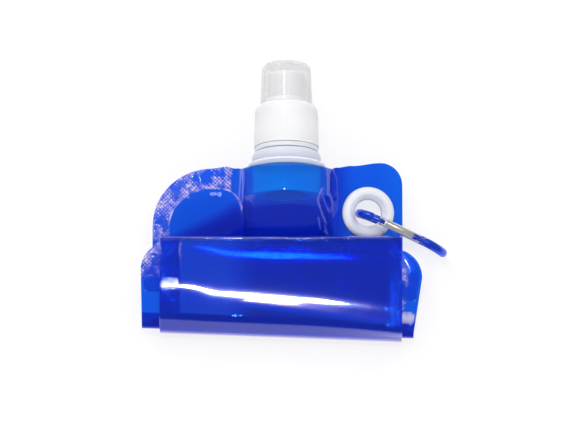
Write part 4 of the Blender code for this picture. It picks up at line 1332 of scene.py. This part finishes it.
def make_eyelet():
    lean = Vector((-EYELET_SLOPE_X, -EYELET_SLOPE_Y, 1.0)).normalized()
    for face, profile, radius in ("front", EYELET_FRONT_PROFILE, 0.5), ("back", EYELET_BACK_PROFILE, 0.4):
        ring = turned(f"eyelet_{face}_ring", rounded(profile, radius))
        settle_at(ring, (EYELET_X, EYELET_Y, EYELET_Z), lean)
        finish_piece(ring, SPOUT_SHADED_PLASTIC, "pouch", "white_plastic", f"grommet_{face}")


# Carabiner. Its own axes run along it (a), up from its straight side (h) and across it (n).

def carabiner_frame():
    up = CARABINER_LEAN
    along = Vector((math.cos(CARABINER_YAW), -math.sin(CARABINER_YAW), 0.0))
    along = (along - up * along.dot(up)).normalized()
    return along, up, along.cross(up)


def in_carabiner(a, h, n=0.0):
    along, up, across = carabiner_frame()
    reach = EYELET_HOLE - WIRE_FLAT - 0.0003
    side = Vector((math.cos(CARABINER_REST), math.sin(CARABINER_REST), 0.0))
    pivot = Vector((EYELET_X, EYELET_Y, EYELET_Z)) + side * reach
    start = pivot - up * ((pivot.z - WIRE_DEEP - 0.0003) / up.z) - across * CARABINER_BOW
    return start + along * a + up * h + across * n


def bow(a):
    middle = CARABINER_LENGTH / 2
    return CARABINER_BOW * ((a - middle) / middle) ** 4


def gate_height(a):
    share = (a - NOSE_PIN_A) / (HINGE_PIN_A - NOSE_PIN_A)
    return 2 * NOSE_BEND + (2 * TAIL_BEND - 2 * NOSE_BEND) * share


def body_stations():
    """The body's middle line as (a, h, half flat, half deep)."""
    tail = CARABINER_LENGTH - TAIL_BEND
    neck = HINGE_PIN_A + 0.0022
    stations = []
    for t in range(0, 91, 15):
        a = HINGE_PIN_A - TONGUE_DEEP * math.cos(math.radians(t))
        deep = TONGUE_DEEP * math.sin(math.radians(max(t, 12)))
        stations.append((a, gate_height(a), TONGUE_FLAT, deep))
    for i in range(5):
        t = ease(i / 4)
        a = neck + 0.0020 * i / 4
        stations.append((a, 2 * TAIL_BEND, TONGUE_FLAT + 0.0010 * t, TONGUE_DEEP + 0.0004 * t))
    for i in range(1, 29):
        t = math.radians(90.0 - 180.0 * i / 28)
        h = TAIL_BEND + TAIL_BEND * math.sin(t)
        stations.append((tail + TAIL_BEND * math.cos(t), h, WIRE_FLAT, WIRE_DEEP))
    for i in range(1, 10):
        stations.append((tail + (NOSE_BEND - tail) * i / 10, 0.0, WIRE_FLAT, WIRE_DEEP))
    for i in range(29):
        t = math.radians(-90.0 - 180.0 * i / 28)
        a = NOSE_BEND + NOSE_BEND * math.cos(t)
        h = NOSE_BEND + NOSE_BEND * math.sin(t)
        if a < NOSE_BEND - 0.0023 or h < NOSE_BEND:
            stations.append((a, h, WIRE_FLAT, WIRE_DEEP))
    for i in range(5):
        t = ease(i / 4)
        a = NOSE_BEND - 0.0019 + 0.0014 * i / 4
        h = 2 * NOSE_BEND - 0.00020 * (1 - t)
        stations.append((a, h, WIRE_FLAT - 0.0010 * t, WIRE_DEEP - 0.0004 * t))
    for a in (0.0100, 0.0112, 0.0124, 0.0129, 0.0132):
        deep = TONGUE_DEEP if a < 0.0127 else 0.0013 if a < 0.0131 else 0.0010
        stations.append((a, gate_height(a), TONGUE_FLAT, deep))
    return stations


def circle_turns(count):
    return [2 * math.pi * (i + 0.5) / count for i in range(count)]


def cross_rod(name, a, reach, radius):
    """A rod across the carabiner at a place on the gate's line."""
    rod = new_shape(name, bpy.ops.mesh.primitive_cylinder_add, vertices=24, radius=radius, depth=reach * 2)
    settle_at(rod, in_carabiner(a, gate_height(a)), carabiner_frame()[2])
    return rod


def gate_matrix():
    """Local X along the gate from the nose pin, Y across the carabiner and Z up."""
    across = carabiner_frame()[2]
    start = in_carabiner(NOSE_PIN_A, gate_height(NOSE_PIN_A))
    along = (in_carabiner(HINGE_PIN_A, gate_height(HINGE_PIN_A)) - start).normalized()
    turn = Matrix((along, across, along.cross(across))).transposed().to_4x4()
    return Matrix.Translation(start) @ turn


def cut_box(item, centre, size):
    """Cuts a box out of a piece, in the gate's own axes."""
    box = new_shape("cutter", bpy.ops.mesh.primitive_cube_add, size=1.0)
    box.data.transform(gate_matrix() @ Matrix.Translation(centre) @ Matrix.Diagonal((*size, 1.0)))
    cut_with(item, box)


def make_carabiner_body():
    stations = body_stations()
    rings = []
    for i, (a, h, flat, deep) in enumerate(stations):
        before = stations[max(i - 1, 0)]
        after = stations[min(i + 1, len(stations) - 1)]
        side = left_of(Vector((after[0] - before[0], after[1] - before[1])).normalized())
        ring = []
        for t in circle_turns(28):
            off = side * (deep * math.sin(t))
            ring.append(in_carabiner(a + off.x, h + off.y, flat * math.cos(t) + bow(a)))
        rings.append(ring)
    body = loft("carabiner_wire", rings)
    cut_with(body, cross_rod("cutter", HINGE_PIN_A, 0.004, PIN_HOLE_RADIUS))
    down = -1.0 if gate_matrix()[2][2] > 0 else 1.0
    cut_box(body, (0.0, 0.0, 0.0012 * down), (0.0016, 0.008, 0.0040))
    finish_piece(body, BLUE_ALUMINIUM, "carabiner", "blue_aluminium", "carabiner_body", angle=30.0)


def make_gate():
    span = HINGE_PIN_A - NOSE_PIN_A
    place = gate_matrix()
    ends = [(-out, share) for out, share in GATE_ENDS]
    ends += [(span + out, share) for out, share in reversed(GATE_ENDS)]
    rings = []
    for x, share in ends:
        rings.append([place @ Vector((x, GATE_RADIUS * math.cos(t), GATE_RADIUS * share * math.sin(t)))
                      for t in circle_turns(40)])
    gate = loft("gate_tube", rings)
    for low, high in ((-0.006, NOSE_SLOT_TO), (HINGE_SLOT_FROM, span + 0.006)):
        cut_box(gate, ((low + high) / 2, 0.0, 0.0), (high - low, GATE_SLOT_WIDTH, 0.010))
    bevel_edges(gate, 0.00012, 2)
    finish_piece(gate, PLATED_STEEL, "gate", "plated_steel", "carabiner_gate")


def make_carabiner():
    make_carabiner_body()
    make_gate()
    for name, a, body, node in (("hinge_rivet", HINGE_PIN_A, "carabiner", "gate_hinge_pin"),
                                ("nose_rivet", NOSE_PIN_A, "gate", "gate_nose_pin")):
        pin = cross_rod(name, a, GATE_RADIUS + 0.0001, PIN_RADIUS)
        bevel_edges(pin, 0.00015, 3)
        finish_piece(pin, PLATED_STEEL, body, "plated_steel", node)
    for node in ("gate_plunger", "gate_spring"):
        paint(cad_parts[node], PLATED_STEEL)


# Floor, light and camera

def seen_by_rays(tree):
    """1 where the camera looks straight, by gloss or through something, 0 for the light itself."""
    rays = add_node(tree, "LightPath").outputs
    seen = math_node(tree, "MAXIMUM", rays["Is Camera Ray"], rays["Is Glossy Ray"])
    return math_node(tree, "MAXIMUM", seen, rays["Is Transmission Ray"])


def make_stage():
    """A plain pale floor. It glows a little for the camera and for gloss, which keeps its shadows light."""
    floor = new_shape("pale_floor", bpy.ops.mesh.primitive_plane_add, size=FLOOR_SIZE,
                      location=(0.0, 0.0, -FLOOR_DROP))
    settle(floor)
    material, tree, shader = new_material("pale_floor")
    seen = seen_by_rays(tree)
    fill(tree, shader, {
        "Base Color": ramp_node(tree, seen, ((0.0, (0.84, 0.84, 0.85)), (1.0, (0.27, 0.27, 0.275)))),
        "Roughness": 0.9,
        "Specular IOR Level": 0.1,
        "Emission Color": WHITE,
        "Emission Strength": math_node(tree, "MULTIPLY", seen, FLOOR_GLOW),
    })
    paint(floor, material)


def make_world():
    """A pale room. Where the camera looks straight into it, it is white. Gloss mirrors it dimmer."""
    world = bpy.data.worlds.new("soft_room")
    bpy.context.scene.world = world
    world.use_nodes = True
    tree = world.node_tree
    direction = add_node(tree, "TexCoord").outputs["Generated"]
    height = add_node(tree, "SeparateXYZ", {"Vector": direction}).outputs["Z"]
    mirrored = tree.nodes["Background"]
    fill(tree, mirrored, {"Color": ramp_node(tree, height, ROOM_IN_GLOSS)})
    light = add_node(tree, "Background", {"Color": ROOM_LIGHT})
    backdrop = add_node(tree, "Background", {"Color": WHITE})
    room = mix_node(tree, seen_by_rays(tree), light.outputs[0], mirrored.outputs[0])
    straight = add_node(tree, "LightPath").outputs["Is Camera Ray"]
    room = mix_node(tree, straight, room, backdrop.outputs[0])
    tree.links.new(room, tree.nodes["World Output"].inputs["Surface"])


def aimed(name, data, place, aim):
    """Puts a lamp or the camera at a place, looking at its aim."""
    item = bpy.data.objects.new(name, data)
    bpy.context.scene.collection.objects.link(item)
    item.location = place
    item.rotation_mode = "QUATERNION"
    item.rotation_quaternion = (Vector(aim) - Vector(place)).to_track_quat("-Z", "Y")
    return item


def soft_light(name, place, aim, size, power, size_y=None, mirrored=True):
    data = bpy.data.lights.new(name, "AREA")
    data.shape = "ELLIPSE"
    data.size = size
    data.size_y = size_y or size
    data.energy = power
    aimed(name, data, place, aim).visible_glossy = mirrored


def make_lights():
    make_world()
    soft_light("left_softbox", (-0.80, 1.10, 1.05), (0.0, 0.02, 0.0), 0.75, 6.0)
    soft_light("right_softbox", (0.80, 1.10, 0.95), (0.0, 0.02, 0.0), 0.70, 4.3, mirrored=False)
    soft_light("front_fill", (0.0, -1.10, 0.55), (0.0, 0.03, 0.01), 0.80, 4.8, mirrored=False)
    soft_light("overhead_lamp", (-0.011, 0.1765, 1.2), (0.0, -0.009, 0.0), 0.118, 2.3, size_y=0.031)
    soft_light("streak_lamp", (-0.228, 0.500, 1.2), (0.0, 0.09, 0.0), 0.05, 0.85, size_y=0.11)


def make_camera():
    data = bpy.data.cameras.new("camera")
    data.sensor_width = SENSOR_WIDTH
    data.lens = SENSOR_WIDTH * CAMERA_DISTANCE / VIEW_WIDTH
    data.clip_end = 20.0
    toward = Vector((0.0, -math.cos(CAMERA_ELEVATION), math.sin(CAMERA_ELEVATION)))
    place = Vector(CAMERA_TARGET) + toward * CAMERA_DISTANCE
    bpy.context.scene.camera = aimed("camera", data, place, CAMERA_TARGET)


def set_looks():
    scene = bpy.context.scene
    scene.view_settings.view_transform = "Standard"
    scene.cycles.transparent_max_bounces = 64
    scene.cycles.max_bounces = 16
    scene.cycles.transmission_bounces = 12


make_pouch()
make_spout_and_cap()
make_eyelet()
make_carabiner()
make_stage()
make_lights()
make_camera()
set_looks()
